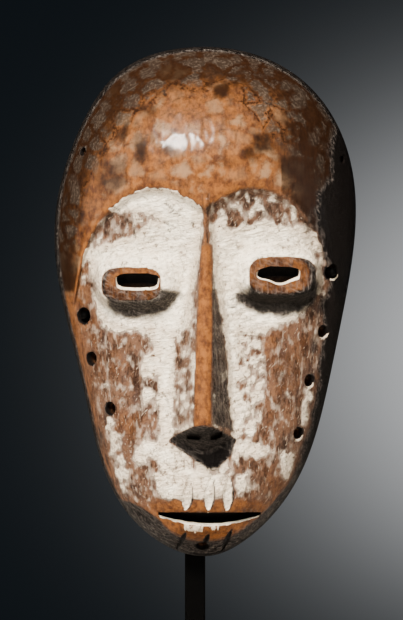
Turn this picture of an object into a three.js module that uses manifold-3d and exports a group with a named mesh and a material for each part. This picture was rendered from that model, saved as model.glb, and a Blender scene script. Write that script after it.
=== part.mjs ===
// Oval wooden face mask with a heart-shaped, whitened face, held on a black steel display stand.
// Millimetres, +Z up, and the face looks along -Y. The origin is the centre of the base's underside.
// On the mask, x runs across it from its middle line, z up from its chin, and depth forward from
// its flat back. The free carving is placed by shares of the mask's own width and height.
import * as THREE from "three";
import { mergeVertices } from "three/addons/utils/BufferGeometryUtils.js";
import Module from "manifold-3d";

// The mask's timber
const MASK_HEIGHT = 300;
const MASK_WIDTH = 178;
const MASK_DEPTH = 62; // from the flat back to the fullest part of the forehead
const EDGE_DEPTH = 12; // squared edge that runs round the back
const RIM_WIDTH = 10; // flat back rim around the hollow
const WALL = 9; // timber between the hollow and the front, measured from back to front

// The stand
const BASE_WIDTH = 130;
const BASE_DEPTH = 110;
const BASE_HEIGHT = 24;
const BASE_CORNER = 3;
const BASE_CHAMFER = 1.2;
const POST_SIDE = 12; // square steel bar
const POST_CHAMFER = 0.8;
const POST_SET_BACK = 15; // from the middle of the base to the middle of the post
const SOCKET_DEPTH = 14;
const SOCKET_CLEARANCE = 0.3;
const POST_ABOVE_CHIN = 160;
const ARM_ABOVE_CHIN = 148; // where the arms leave the post, hidden below the eye slots
const CHIN_CLEARANCE = 60; // between the base and the chin
const ROD_RADIUS = 2.5; // the two arms welded to the post
const ARM_WELD = 2; // an arm starts this far from the post's middle line
const ARM_STRAIGHT = 24; // level run from the post's middle line
const ARM_REACH = 44; // from the mask's middle line to where an arm has entered the hollow
const ARM_ENTRY_DEPTH = 3; // how far the arm's middle line is inside the hollow there
const ARM_BORE_RUN = 22; // straight run to the tip, in line with its hole
const ARM_TIP_OUT = 0.5; // how far the middle of the round tip stands inside the hole's mouth
const REST_GAP = 0.4; // between the mask's back and the post it leans on
const MASK_OFFSET = 5.5; // the mask hangs this far to one side of the post

// Drilled holes
const CORD_HOLE_RADIUS = 3.2;
const ARM_HOLE_RADIUS = 4;
const PIN_HOLE_RADIUS = 1.6;
const CHIN_HOLE_RADIUS = 3.3;
const COUNTERSINK = 0.9; // how much wider a hole is at its worn mouth
const COUNTERSINK_DEPTH = 2.5;
const DRILL_LENGTH = 26;
const CUTTER_OVERRUN = 12; // cutters start this far outside the surface
const DRILL_SLANT = 32; // degrees that the side holes lean towards the middle as they go in
const CHIN_DRILL_SLANT = 48; // degrees that the chin hole rises as it goes in

// Half widths from the chin to the crown, as shares of half the width: harmonics of the height angle
const OUTLINE = {
  left: [0.977, -0.106, 0.048, 0.007, 0.01, -0.021],
  right: [0.988, -0.139, 0.044, -0.003, -0.012, -0.009],
};

// Middle-line depth above the squared edge: share of the height, share of the fullest depth
const CROWN = [
  [0, 0],
  [0.03, 0.32],
  [0.085, 0.63],
  [0.17, 0.75],
  [0.35, 0.79],
  [0.55, 0.85],
  [0.7, 0.98],
  [0.8, 1],
  [0.9, 0.75],
  [0.965, 0.36],
  [1, 0],
];
const SECTION_SQUARENESS = 2.4; // 2 is an ellipse-like cross-section, more is flatter
const SECTION_ROUNDING = 0.64;

// Lower edge of the brow: share of the width from the middle, share of the height
const BROW = [
  [0, 0.686],
  [0.06, 0.706],
  [0.14, 0.725],
  [0.225, 0.717],
  [0.3, 0.688],
  [0.36, 0.645],
  [0.4, 0.59],
  [0.43, 0.5],
];
const BROW_STEP = 4.2;
const BROW_SOFTNESS = 6; // width of the slope under the brow
const BROW_FADE = [0.22, 0.6]; // heights between which the step grows from nothing
const BROW_ENDS = [0.86, 0.98]; // shares of the half width between which it dies away

// Soft hollows and swellings of the face: places and reaches as shares, heights in millimetres
const FORMS = [
  { name: "hollow beside the nose root", x: 0.13, z: 0.6, acrossX: 0.11, upZ: 0.1, height: -5.5 },
  { name: "hollow beside the nose", x: 0.15, z: 0.4, acrossX: 0.08, upZ: 0.16, height: -4 },
  { name: "cheek", x: 0.3, z: 0.36, acrossX: 0.1, upZ: 0.12, height: 2 },
  { name: "upper lip", x: 0, z: 0.125, acrossX: 0.2, upZ: 0.05, height: 3.5 },
  { name: "lower lip", x: 0, z: 0.052, acrossX: 0.13, upZ: 0.018, height: 3 },
];

// The eyes: a squared block on a sloping mound, pierced by a level slot
const EYES = {
  left: { x: -0.232, z: 0.534, slotX: -0.222, slotZ: 0.539 },
  right: { x: 0.251, z: 0.549, slotX: 0.24, slotZ: 0.552 },
};
const EYE_BLOCK_WIDTH = 38;
const EYE_BLOCK_HEIGHT = 20.5;
const EYE_BLOCK_PROUD = 8.5;
const EYE_BLOCK_TILT = 0.13; // the lower edge stands further out than the upper
const EYE_BLOCK_TURN = 0.16; // the outer end falls back with the side of the face
const EYE_SLOT_WIDTH = 24.5;
const EYE_SLOT_HEIGHT = 8.4;
const EYE_SKIRT = { outer: 5, inner: 9, above: 10, below: 7 };
const EYE_SKIRT_ROOT = 5; // the mound's foot is buried this deep

// The nose: sizes from the tip up to the root, as [share of its length, millimetres]
const NOSE = { tipZ: 0.26, rootZ: 0.69, tipX: -0.006, rootX: 0.01 };
const NOSE_HALF_BASE = [[0, 19.4], [0.33, 16], [0.57, 12.5], [0.8, 7], [1, 2.6]];
const NOSE_HALF_RIDGE = [[0, 5.6], [0.33, 4.6], [0.57, 4], [0.8, 2.6], [1, 0.9]];
const NOSE_HEIGHT = [[0, 23], [0.12, 21.5], [0.4, 16], [0.65, 11], [0.8, 7], [1, 3]];
const NOSE_WING_DROP = 9; // the wings' corners lie this far under the tip
const NOSE_UNDERSIDE = 17; // height of the sloping underside on the middle line
const NOSE_CREST = 0.6; // the ridge is a little higher along its middle
const NOSE_ROOT = 2; // the flanks' feet are buried this deep
const NOSTRIL = { spread: 6.3, halfLength: 4.1, halfHeight: 1.7, depth: 5, up: 0.55 };
const NOSTRIL_TURN = { left: 0, right: 24 }; // degrees

// The mouth: a level slot with a sagging lower edge
const MOUTH = { left: -0.152, right: 0.186, top: 0.0885, sag: 5.9, ends: 1.2 };

// Incised strokes as [x, z] ends in shares, above and below the mouth
const UPPER_STROKES = [
  [[-0.062, 0.093], [-0.05, 0.151]],
  [[0.012, 0.093], [0.021, 0.157]],
  [[0.074, 0.092], [0.081, 0.158]],
];
const LOWER_STROKES = [
  [[-0.092, 0.014], [-0.06, 0.049]],
  [[-0.004, 0.022], [0.016, 0.046]],
  [[0.058, 0.012], [0.09, 0.054]],
];
const UPPER_STROKE = { halfWidth: 2.7, depth: 1.5 };
const LOWER_STROKE = { halfWidth: 1.6, depth: 1.3 };

// Side holes in shares, drilled for cords, for the stand's two arms and for small pins
const SIDE_HOLES = [
  { x: -0.397, z: 0.473, radius: ARM_HOLE_RADIUS, arm: true },
  { x: -0.371, z: 0.389, radius: CORD_HOLE_RADIUS },
  { x: -0.31, z: 0.291, radius: CORD_HOLE_RADIUS },
  { x: -0.4, z: 0.793, radius: PIN_HOLE_RADIUS },
  { x: 0.424, z: 0.558, radius: ARM_HOLE_RADIUS, arm: true },
  { x: 0.391, z: 0.441, radius: CORD_HOLE_RADIUS },
  { x: 0.346, z: 0.345, radius: CORD_HOLE_RADIUS },
  { x: 0.31, z: 0.242, radius: CORD_HOLE_RADIUS },
  { x: 0.457, z: 0.778, radius: PIN_HOLE_RADIUS },
];
const CHIN_HOLE = { x: -0.007, z: 0.02 };

// Mesh fineness
const FRONT_ROWS = 54;
const FRONT_COLUMNS = 30;
const BACK_ROWS = 26;
const BACK_COLUMNS = 14;
const EYE_STEPS = 28;
const DRILL_STEPS = 12;
const ROD_SIDES = 8;
const ROD_STEPS = 12;

const wasm = await Module();
wasm.setup();

const lerp = THREE.MathUtils.lerp;
const clamp = THREE.MathUtils.clamp;
const smoothstep = THREE.MathUtils.smoothstep;
const radians = THREE.MathUtils.degToRad;

// Smooth curve through [place, value] pairs, with slopes from each point's neighbours.
function curveThrough(points) {
  const slopes = points.map((_, i) => {
    const a = points[Math.max(i - 1, 0)];
    const b = points[Math.min(i + 1, points.length - 1)];
    return (b[1] - a[1]) / (b[0] - a[0]);
  });
  return (place) => {
    const at = clamp(place, points[0][0], points[points.length - 1][0]);
    let i = 0;
    while (i < points.length - 2 && at > points[i + 1][0]) i += 1;
    const [x0, y0] = points[i];
    const [x1, y1] = points[i + 1];
    const step = x1 - x0;
    const t = (at - x0) / step;
    return (
      y0 * (1 + 2 * t) * (1 - t) ** 2 +
      slopes[i] * step * t * (1 - t) ** 2 +
      y1 * t * t * (3 - 2 * t) +
      slopes[i + 1] * step * t * t * (t - 1)
    );
  };
}

// Angle that runs from 0 at the chin to a half turn at the crown.
const heightAngle = (share) => Math.acos(clamp(1 - 2 * share, -1, 1));
const crownCurve = curveThrough(CROWN.map(([share, depth]) => [heightAngle(share), depth]));
const browCurve = curveThrough(BROW);

function halfWidth(side, z) {
  const angle = heightAngle(z / MASK_HEIGHT);
  const sum = OUTLINE[side].reduce((total, size, k) => total + size * Math.sin((k + 1) * angle), 0);
  return Math.max(0, (sum * MASK_WIDTH) / 2);
}

// Depth of the plain, convex front at a point of the mask.
function fullDepth(x, z) {
  const reach = Math.max(halfWidth(x < 0 ? "left" : "right", z), 1e-6);
  const across = clamp(Math.abs(x) / reach, 0, 1);
  const section = (1 - across ** SECTION_SQUARENESS) ** SECTION_ROUNDING;
  const crown = crownCurve(heightAngle(z / MASK_HEIGHT));
  return EDGE_DEPTH + (MASK_DEPTH - EDGE_DEPTH) * crown * section;
}

// Depth that the brow's step takes off the heart-shaped face.
function browRecess(x, z) {
  const brow = browCurve(Math.abs(x) / MASK_WIDTH) * MASK_HEIGHT;
  const under = smoothstep(brow - z, 0, BROW_SOFTNESS);
  const edge = Math.abs(x) / Math.max(halfWidth(x < 0 ? "left" : "right", z), 1e-6);
  const kept = 1 - smoothstep(edge, BROW_ENDS[0], BROW_ENDS[1]);
  return BROW_STEP * under * kept * smoothstep(z / MASK_HEIGHT, BROW_FADE[0], BROW_FADE[1]);
}

// Soft forms fade towards the outline, so that the edge keeps its depth.
function softForms(x, z) {
  const reach = Math.max(halfWidth(x < 0 ? "left" : "right", z), 1e-6);
  const inner = 1 - smoothstep(Math.abs(x) / reach, 0.7, 1);
  return FORMS.reduce((total, form) => {
    const across = (Math.abs(x) / MASK_WIDTH - form.x) / form.acrossX;
    const up = (z / MASK_HEIGHT - form.z) / form.upZ;
    return total + inner * form.height * Math.exp(-across * across - up * up);
  }, 0);
}

// Depth of the carved face, without its nose, eyes and strokes.
const faceDepth = (x, z) => fullDepth(x, z) - browRecess(x, z) + softForms(x, z);

// Point in the mask's own space.
const point = (x, depth, z) => new THREE.Vector3(x, -depth, z);

// Geometry from a list of triangles, each three vectors.
function geometryOf(triangles) {
  const positions = triangles.flatMap((corners) => corners.flatMap((corner) => corner.toArray()));
  return new THREE.BufferGeometry().setAttribute(
    "position",
    new THREE.Float32BufferAttribute(positions, 3),
  );
}

function solidOf(geometry) {
  const bare = geometry.index ? geometry.toNonIndexed() : geometry.clone();
  bare.deleteAttribute("normal");
  bare.deleteAttribute("uv");
  const merged = mergeVertices(bare, 1e-4);
  const corners = merged.index.array;
  const kept = [];
  for (let i = 0; i < corners.length; i += 3) {
    const [a, b, c] = corners.slice(i, i + 3);
    if (a !== b && b !== c && c !== a) kept.push(a, b, c);
  }
  return new wasm.Manifold(
    new wasm.Mesh({
      numProp: 3,
      vertProperties: merged.attributes.position.array,
      triVerts: new Uint32Array(kept),
    }),
  );
}

function geometryFrom(solid) {
  const mesh = solid.getMesh();
  const geometry = new THREE.BufferGeometry();
  geometry.setAttribute("position", new THREE.Float32BufferAttribute(mesh.vertProperties, 3));
  geometry.setIndex(new THREE.BufferAttribute(mesh.triVerts, 1));
  geometry.computeVertexNormals();
  return geometry;
}

const quad = (a, b, c, d) => [[a, b, c], [a, c, d]];

// Closed solid between a carved front, given as rows of points from the chin up, and a flat back.
function carvedSolid(rows, backDepth) {
  const triangles = [];
  const back = (p) => point(p.x, backDepth, p.z);
  for (let j = 0; j < rows.length - 1; j += 1) {
    const low = rows[j];
    const high = rows[j + 1];
    const last = low.length - 1;
    for (let i = 0; i < last; i += 1) triangles.push(...quad(low[i], low[i + 1], high[i + 1], high[i]));
    triangles.push(...quad(back(low[0]), low[0], high[0], back(high[0])));
    triangles.push(...quad(low[last], back(low[last]), back(high[last]), high[last]));
    triangles.push(...quad(back(low[last]), back(low[0]), back(high[0]), back(high[last])));
  }
  const bottom = rows[0];
  const top = rows[rows.length - 1];
  const end = bottom.length - 1;
  for (let i = 0; i < end; i += 1) {
    triangles.push([back(bottom[0]), bottom[i + 1], bottom[i]]);
    triangles.push([back(top[0]), top[i], top[i + 1]]);
  }
  triangles.push([back(bottom[0]), back(bottom[end]), bottom[end]]);
  triangles.push([back(top[0]), top[end], back(top[end])]);
  return solidOf(geometryOf(triangles));
}

// Heights of the mesh's rows on the middle line: close at both ends, with three across the brow's step.
function rowHeights(rowCount) {
  const brow = BROW[0][1] * MASK_HEIGHT;
  const onStep = [brow - BROW_SOFTNESS, brow - BROW_SOFTNESS / 2, brow];
  const regular = Array.from({ length: rowCount + 1 }, (_, j) => {
    const even = j / rowCount;
    return MASK_HEIGHT * lerp(even, (1 - Math.cos(Math.PI * even)) / 2, 0.8);
  });
  const clear = regular.filter((z) => onStep.every((step) => Math.abs(z - step) > 2));
  return [...clear, ...onStep].sort((a, b) => a - b);
}

// Rows of points over the mask's front. They bend with the brow, so that its step stays clean.
function frontRows(rowCount, columnCount, place) {
  const middle = BROW[0][1] * MASK_HEIGHT;
  return rowHeights(rowCount).map((height) => {
    const weight = height < middle ? height / middle : (MASK_HEIGHT - height) / (MASK_HEIGHT - middle);
    return Array.from({ length: columnCount + 1 }, (_, i) => {
      const side = (2 * i) / columnCount - 1;
      const across = lerp(side, Math.sin((Math.PI / 2) * side), 0.5);
      const half = side < 0 ? "left" : "right";
      let z = height;
      for (let round = 0; round < 4; round += 1) {
        const brow = browCurve((Math.abs(across) * halfWidth(half, z)) / MASK_WIDTH) * MASK_HEIGHT;
        z = height + (brow - middle) * weight;
      }
      return place(across * halfWidth(half, z), z);
    });
  });
}

function maskBlank() {
  return carvedSolid(
    frontRows(FRONT_ROWS, FRONT_COLUMNS, (x, z) => point(x, faceDepth(x, z), z)),
    0,
  );
}

// The hollow follows the front at the wall's thickness, inside the flat rim.
function hollow() {
  const inset = (x, z) => {
    const reach = Math.max(halfWidth(x < 0 ? "left" : "right", z), 1e-6);
    const innerX = x * Math.max(0, 1 - RIM_WIDTH / Math.max(reach, RIM_WIDTH));
    const innerZ = RIM_WIDTH + (z * (MASK_HEIGHT - 2 * RIM_WIDTH)) / MASK_HEIGHT;
    return point(innerX, faceDepth(x, z) - WALL, innerZ);
  };
  return carvedSolid(frontRows(BACK_ROWS, BACK_COLUMNS, inset), -CUTTER_OVERRUN);
}

// Closed solid skinned over rings of points, each end closed towards its own middle.
function skinnedSolid(rings) {
  const triangles = [];
  const middle = (ring) =>
    ring.reduce((sum, p) => sum.add(p), new THREE.Vector3()).divideScalar(ring.length);
  const count = rings[0].length;
  const first = rings[0];
  const last = rings[rings.length - 1];
  const firstMiddle = middle(first);
  const lastMiddle = middle(last);
  for (let i = 0; i < count; i += 1) {
    const next = (i + 1) % count;
    triangles.push([firstMiddle, first[next], first[i]]);
    triangles.push([lastMiddle, last[i], last[next]]);
    for (let j = 0; j < rings.length - 1; j += 1)
      triangles.push(...quad(rings[j][i], rings[j][next], rings[j + 1][next], rings[j + 1][i]));
  }
  return solidOf(geometryOf(triangles));
}

// Unit point on a rounded rectangle: squareness 2 is an ellipse.
function roundedUnit(angle, squareness) {
  const c = Math.cos(angle);
  const s = Math.sin(angle);
  const power = 2 / squareness;
  return [Math.sign(c) * Math.abs(c) ** power, Math.sign(s) * Math.abs(s) ** power];
}

// An eye's squared block and the mound that slopes away from it into the face.
function eyeSolid(name) {
  const eye = EYES[name];
  const centreX = eye.x * MASK_WIDTH;
  const centreZ = eye.z * MASK_HEIGHT;
  const inward = name === "left" ? 1 : -1;
  const centreDepth = faceDepth(centreX, centreZ) + EYE_BLOCK_PROUD;
  const ring = (spread, depthAt, squareness) => {
    const points = [];
    for (let k = 0; k < EYE_STEPS; k += 1) {
      const [c, s] = roundedUnit((2 * Math.PI * k) / EYE_STEPS, squareness);
      const skirtX = c * inward > 0 ? EYE_SKIRT.inner : EYE_SKIRT.outer;
      const skirtZ = s > 0 ? EYE_SKIRT.above : EYE_SKIRT.below;
      const x = centreX + c * (EYE_BLOCK_WIDTH / 2 + spread * skirtX);
      const z = centreZ + s * (EYE_BLOCK_HEIGHT / 2 + spread * skirtZ);
      points.push(point(x, depthAt(x, z), z));
    }
    return points;
  };
  const blockDepth = (x, z) =>
    centreDepth + EYE_BLOCK_TILT * (centreZ - z) + EYE_BLOCK_TURN * inward * (x - centreX);
  const sunk = (amount) => (x, z) => faceDepth(x, z) - amount;
  const between = (share) => (x, z) => lerp(blockDepth(x, z), faceDepth(x, z), share);
  return skinnedSolid([
    ring(1.1, sunk(EYE_SKIRT_ROOT), 2.4),
    ring(1.1, sunk(EYE_SKIRT_ROOT / 5), 2.4),
    ring(0.55, between(0.42), 2.7),
    ring(0.05, between(0.05), 3.6),
    ring(-0.08, blockDepth, 3.8),
  ]);
}

// The nose: rows across it from the underside's lower edge to the tip, then up to the root.
function noseSolid() {
  const halfBase = curveThrough(NOSE_HALF_BASE);
  const halfRidge = curveThrough(NOSE_HALF_RIDGE);
  const height = curveThrough(NOSE_HEIGHT);
  const tipZ = NOSE.tipZ * MASK_HEIGHT;
  const rootZ = NOSE.rootZ * MASK_HEIGHT;
  const flankShares = [1, 0.66, 0.33, 0];
  // Places across the nose: its distance from the middle, and its share of the ridge's height
  const places = [
    ...flankShares.map((share) => ({ side: -1, flank: share })),
    { side: 0, flank: 0 },
    ...flankShares.toReversed().map((share) => ({ side: 1, flank: share })),
  ];
  const onBody = (up, { side, flank }) => {
    const ridge = halfRidge(up);
    const out = side * lerp(ridge, halfBase(up), flank);
    const x = lerp(NOSE.tipX, NOSE.rootX, up) * MASK_WIDTH + out;
    const drop = NOSE_WING_DROP * (Math.abs(out) / halfBase(0)) ** 1.5 * (1 - up) ** 4;
    const z = lerp(tipZ, rootZ, up) - drop;
    const sink = NOSE_ROOT * flank;
    const crest = side === 0 ? NOSE_CREST : 0;
    return point(x, faceDepth(x, z) + height(up) * (1 - flank ** 0.9) + crest - sink, z);
  };
  const underside = (share) => (place) => {
    const edge = onBody(0, place);
    const spread = Math.abs(edge.x - NOSE.tipX * MASK_WIDTH) / halfBase(0);
    const bottomZ = lerp(tipZ - NOSE_UNDERSIDE, tipZ - NOSE_WING_DROP * 1.1, clamp(spread, 0, 1));
    const bottom = point(edge.x, faceDepth(edge.x, bottomZ) - NOSE_ROOT, bottomZ);
    return edge.clone().lerp(bottom, share);
  };
  const rows = [1, 0.66, 0.33].map((share) => places.map(underside(share)));
  const lengthSteps = 16;
  for (let k = 0; k <= lengthSteps; k += 1)
    rows.push(places.map((place) => onBody(k / lengthSteps, place)));
  return carvedSolid(rows, MASK_DEPTH / 2);
}

// Cutter with a flat outline in x and z that passes right through the mask.
function slotCutter(outline) {
  const shape = new THREE.Shape(outline.map(([x, z]) => new THREE.Vector2(x, z)));
  const length = MASK_DEPTH * 2;
  const geometry = new THREE.ExtrudeGeometry(shape, { depth: length, bevelEnabled: false });
  return solidOf(geometry.rotateX(Math.PI / 2).translate(0, 1, 0));
}

function eyeSlot(name) {
  const { slotX, slotZ } = EYES[name];
  const steps = 24;
  const outline = Array.from({ length: steps }, (_, k) => {
    const [c, s] = roundedUnit((2 * Math.PI * k) / steps, 3);
    return [
      slotX * MASK_WIDTH + (c * EYE_SLOT_WIDTH) / 2,
      slotZ * MASK_HEIGHT + (s * EYE_SLOT_HEIGHT) / 2,
    ];
  });
  return slotCutter(outline);
}

function mouthSlot() {
  const left = MOUTH.left * MASK_WIDTH;
  const right = MOUTH.right * MASK_WIDTH;
  const top = MOUTH.top * MASK_HEIGHT;
  const steps = 10;
  const lower = [];
  for (let k = 0; k <= steps; k += 1) {
    const share = k / steps;
    const sag = MOUTH.ends + (MOUTH.sag - MOUTH.ends) * Math.sin(Math.PI * share);
    lower.push([lerp(left, right, share), top - sag]);
  }
  return slotCutter([...lower, [right + 2, top], [left - 1, top]]);
}

// Boat-shaped cutter laid along the line between two points of the surface.
function strokeCutter([[x0, z0], [x1, z1]], { halfWidth: half, depth }) {
  const onFace = (x, z) => {
    const atX = x * MASK_WIDTH;
    const atZ = z * MASK_HEIGHT;
    return point(atX, faceDepth(atX, atZ), atZ);
  };
  const low = onFace(x0, z0);
  const high = onFace(x1, z1);
  const along = high.clone().sub(low);
  const middle = onFace((x0 + x1) / 2, (z0 + z1) / 2);
  const tool = new THREE.Object3D();
  tool.position.copy(middle);
  tool.quaternion.setFromUnitVectors(new THREE.Vector3(0, 0, 1), along.clone().normalize());
  tool.scale.set(half, depth, along.length() / 2);
  tool.updateMatrix();
  const boat = new THREE.SphereGeometry(1, 10, 8).rotateX(Math.PI / 2);
  return solidOf(boat.applyMatrix4(tool.matrix));
}

// Blind nostril sunk into the nose's sloping underside.
function nostrilCutter(side) {
  const tipZ = NOSE.tipZ * MASK_HEIGHT;
  const x = NOSE.tipX * MASK_WIDTH + (side === "left" ? -1 : 1) * NOSTRIL.spread;
  const z = tipZ - NOSE_UNDERSIDE * (1 - NOSTRIL.up);
  const rise = NOSE_HEIGHT[0][1];
  const depth = faceDepth(x, z) + rise * NOSTRIL.up;
  const tool = new THREE.Object3D();
  tool.position.copy(point(x, depth, z));
  tool.rotation.order = "XYZ";
  tool.rotation.x = Math.atan2(rise, NOSE_UNDERSIDE) - Math.PI / 2 + 0.35;
  tool.rotation.y = radians(-NOSTRIL_TURN[side]);
  tool.scale.set(NOSTRIL.halfLength, NOSTRIL.depth, NOSTRIL.halfHeight);
  tool.updateMatrix();
  return solidOf(new THREE.SphereGeometry(1, 12, 8).applyMatrix4(tool.matrix));
}

// A hole's worn mouth on the surface, and the direction from there into the timber.
function sideHole({ x, z }) {
  const atX = x * MASK_WIDTH;
  const atZ = z * MASK_HEIGHT;
  const slant = radians(DRILL_SLANT);
  return {
    mouth: point(atX, faceDepth(atX, atZ), atZ),
    inward: new THREE.Vector3(-Math.sign(x) * Math.sin(slant), Math.cos(slant), 0),
  };
}

function chinHole() {
  const x = CHIN_HOLE.x * MASK_WIDTH;
  const z = CHIN_HOLE.z * MASK_HEIGHT;
  const slant = radians(CHIN_DRILL_SLANT);
  return {
    mouth: point(x, faceDepth(x, z), z),
    inward: new THREE.Vector3(0, Math.cos(slant), Math.sin(slant)),
  };
}

// Round drill with a wider mouth, aimed along a hole.
function drill({ mouth, inward }, radius, length) {
  const wide = radius + COUNTERSINK;
  const profile = [
    [0, -CUTTER_OVERRUN],
    [wide, -CUTTER_OVERRUN],
    [wide, 0],
    [radius, COUNTERSINK_DEPTH],
    [radius, length],
    [0, length],
  ].map(([r, along]) => new THREE.Vector2(r, along));
  const geometry = new THREE.LatheGeometry(profile, DRILL_STEPS);
  const turn = new THREE.Quaternion().setFromUnitVectors(new THREE.Vector3(0, 1, 0), inward);
  return solidOf(geometry.applyQuaternion(turn).translate(mouth.x, mouth.y, mouth.z));
}

function maskGeometry() {
  const sides = ["left", "right"];
  const added = [noseSolid(), ...sides.map(eyeSolid)];
  const cut = [
    hollow(),
    mouthSlot(),
    ...sides.map(eyeSlot),
    ...sides.map(nostrilCutter),
    ...UPPER_STROKES.map((stroke) => strokeCutter(stroke, UPPER_STROKE)),
    ...LOWER_STROKES.map((stroke) => strokeCutter(stroke, LOWER_STROKE)),
    ...SIDE_HOLES.map((hole) => drill(sideHole(hole), hole.radius, DRILL_LENGTH)),
    drill(chinHole(), CHIN_HOLE_RADIUS, DRILL_LENGTH),
  ];
  const whole = added.reduce((solid, piece) => solid.add(piece), maskBlank());
  return geometryFrom(cut.reduce((solid, tool) => solid.subtract(tool), whole));
}

// Where the mask's own space lies in the part: the chin over the base, the back just before the post.
const postFront = POST_SET_BACK - POST_SIDE / 2;
const maskPlace = new THREE.Vector3(MASK_OFFSET, postFront - REST_GAP, BASE_HEIGHT + CHIN_CLEARANCE);

// Flat outline of a square with chamfered or rounded corners, for the base and the post.
function squareShape(width, depth, corner, cornerSteps) {
  const shape = new THREE.Shape();
  const halves = [[1, 1], [-1, 1], [-1, -1], [1, -1]];
  halves.forEach(([sx, sy], index) => {
    for (let k = 0; k <= cornerSteps; k += 1) {
      const angle = (Math.PI / 2) * (index + k / cornerSteps);
      const x = sx * (width / 2 - corner) + corner * Math.cos(angle);
      const y = sy * (depth / 2 - corner) + corner * Math.sin(angle);
      if (index === 0 && k === 0) shape.moveTo(x, y);
      else shape.lineTo(x, y);
    }
  });
  shape.closePath();
  return shape;
}

// Upright bar from the socket to above the eyes, with a square end.
function postBar() {
  const foot = BASE_HEIGHT - SOCKET_DEPTH;
  const top = maskPlace.z + POST_ABOVE_CHIN;
  const geometry = new THREE.ExtrudeGeometry(squareShape(POST_SIDE, POST_SIDE, POST_CHAMFER, 1), {
    depth: top - foot,
    bevelEnabled: false,
  });
  return solidOf(geometry.translate(0, POST_SET_BACK, foot));
}

// Round arm from the post, behind the rim, into the hollow and out through its hole.
function armRod(hole) {
  const { mouth, inward } = sideHole(hole);
  const place = (offset) => mouth.clone().add(maskPlace).addScaledVector(inward, offset);
  const tip = place(ARM_TIP_OUT);
  const side = Math.sign(hole.x);
  const level = maskPlace.z + ARM_ABOVE_CHIN;
  const entry = new THREE.Vector3(
    maskPlace.x + side * ARM_REACH,
    maskPlace.y - ARM_ENTRY_DEPTH,
    lerp(level, tip.z, 0.15),
  );
  const path = new THREE.CatmullRomCurve3(
    [
      new THREE.Vector3(side * ARM_WELD, POST_SET_BACK, level),
      new THREE.Vector3(side * ARM_STRAIGHT, POST_SET_BACK, level),
      entry,
      place(ARM_BORE_RUN),
      place(ARM_BORE_RUN / 2),
      tip,
    ],
    false,
    "centripetal",
  );
  const circle = new THREE.Shape();
  for (let k = 0; k < ROD_SIDES; k += 1) {
    const angle = (2 * Math.PI * k) / ROD_SIDES;
    const corner = [ROD_RADIUS * Math.cos(angle), ROD_RADIUS * Math.sin(angle)];
    if (k === 0) circle.moveTo(...corner);
    else circle.lineTo(...corner);
  }
  const rod = new THREE.ExtrudeGeometry(circle, { steps: ROD_STEPS, extrudePath: path });
  const end = new THREE.SphereGeometry(ROD_RADIUS, ROD_SIDES, 8).translate(tip.x, tip.y, tip.z);
  return solidOf(rod).add(solidOf(end));
}

function postGeometry() {
  const arms = SIDE_HOLES.filter((hole) => hole.arm).map(armRod);
  return geometryFrom(arms.reduce((solid, arm) => solid.add(arm), postBar()));
}

// Low block with a socket for the post.
function baseGeometry() {
  const shape = squareShape(
    BASE_WIDTH - 2 * BASE_CHAMFER,
    BASE_DEPTH - 2 * BASE_CHAMFER,
    BASE_CORNER,
    4,
  );
  const block = new THREE.ExtrudeGeometry(shape, {
    depth: BASE_HEIGHT - 2 * BASE_CHAMFER,
    bevelThickness: BASE_CHAMFER,
    bevelSize: BASE_CHAMFER,
    bevelSegments: 1,
  }).translate(0, 0, BASE_CHAMFER);
  const bore = POST_SIDE + 2 * SOCKET_CLEARANCE;
  const socket = new THREE.BoxGeometry(bore, bore, 2 * SOCKET_DEPTH);
  socket.translate(0, POST_SET_BACK, BASE_HEIGHT);
  return geometryFrom(solidOf(block).subtract(solidOf(socket)));
}

const paintedWood = new THREE.MeshStandardMaterial({
  name: "painted_wood",
  color: "#a5836a",
  roughness: 0.62,
  metalness: 0,
});
const blackSteel = new THREE.MeshStandardMaterial({
  name: "black_steel",
  color: "#111112",
  roughness: 0.5,
  metalness: 0.4,
});
const blackBase = new THREE.MeshStandardMaterial({
  name: "black_base",
  color: "#161514",
  roughness: 0.42,
  metalness: 0.2,
});

function namedMesh(name, geometry, material) {
  const mesh = new THREE.Mesh(geometry, material);
  mesh.name = name;
  return mesh;
}

const mask = namedMesh("mask", maskGeometry(), paintedWood);
mask.position.copy(maskPlace);

const part = new THREE.Group();
part.add(mask);
part.add(namedMesh("stand_post", postGeometry(), blackSteel));
part.add(namedMesh("stand_base", baseGeometry(), blackBase));

export default part;
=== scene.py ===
import functools
import itertools
import math

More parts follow.
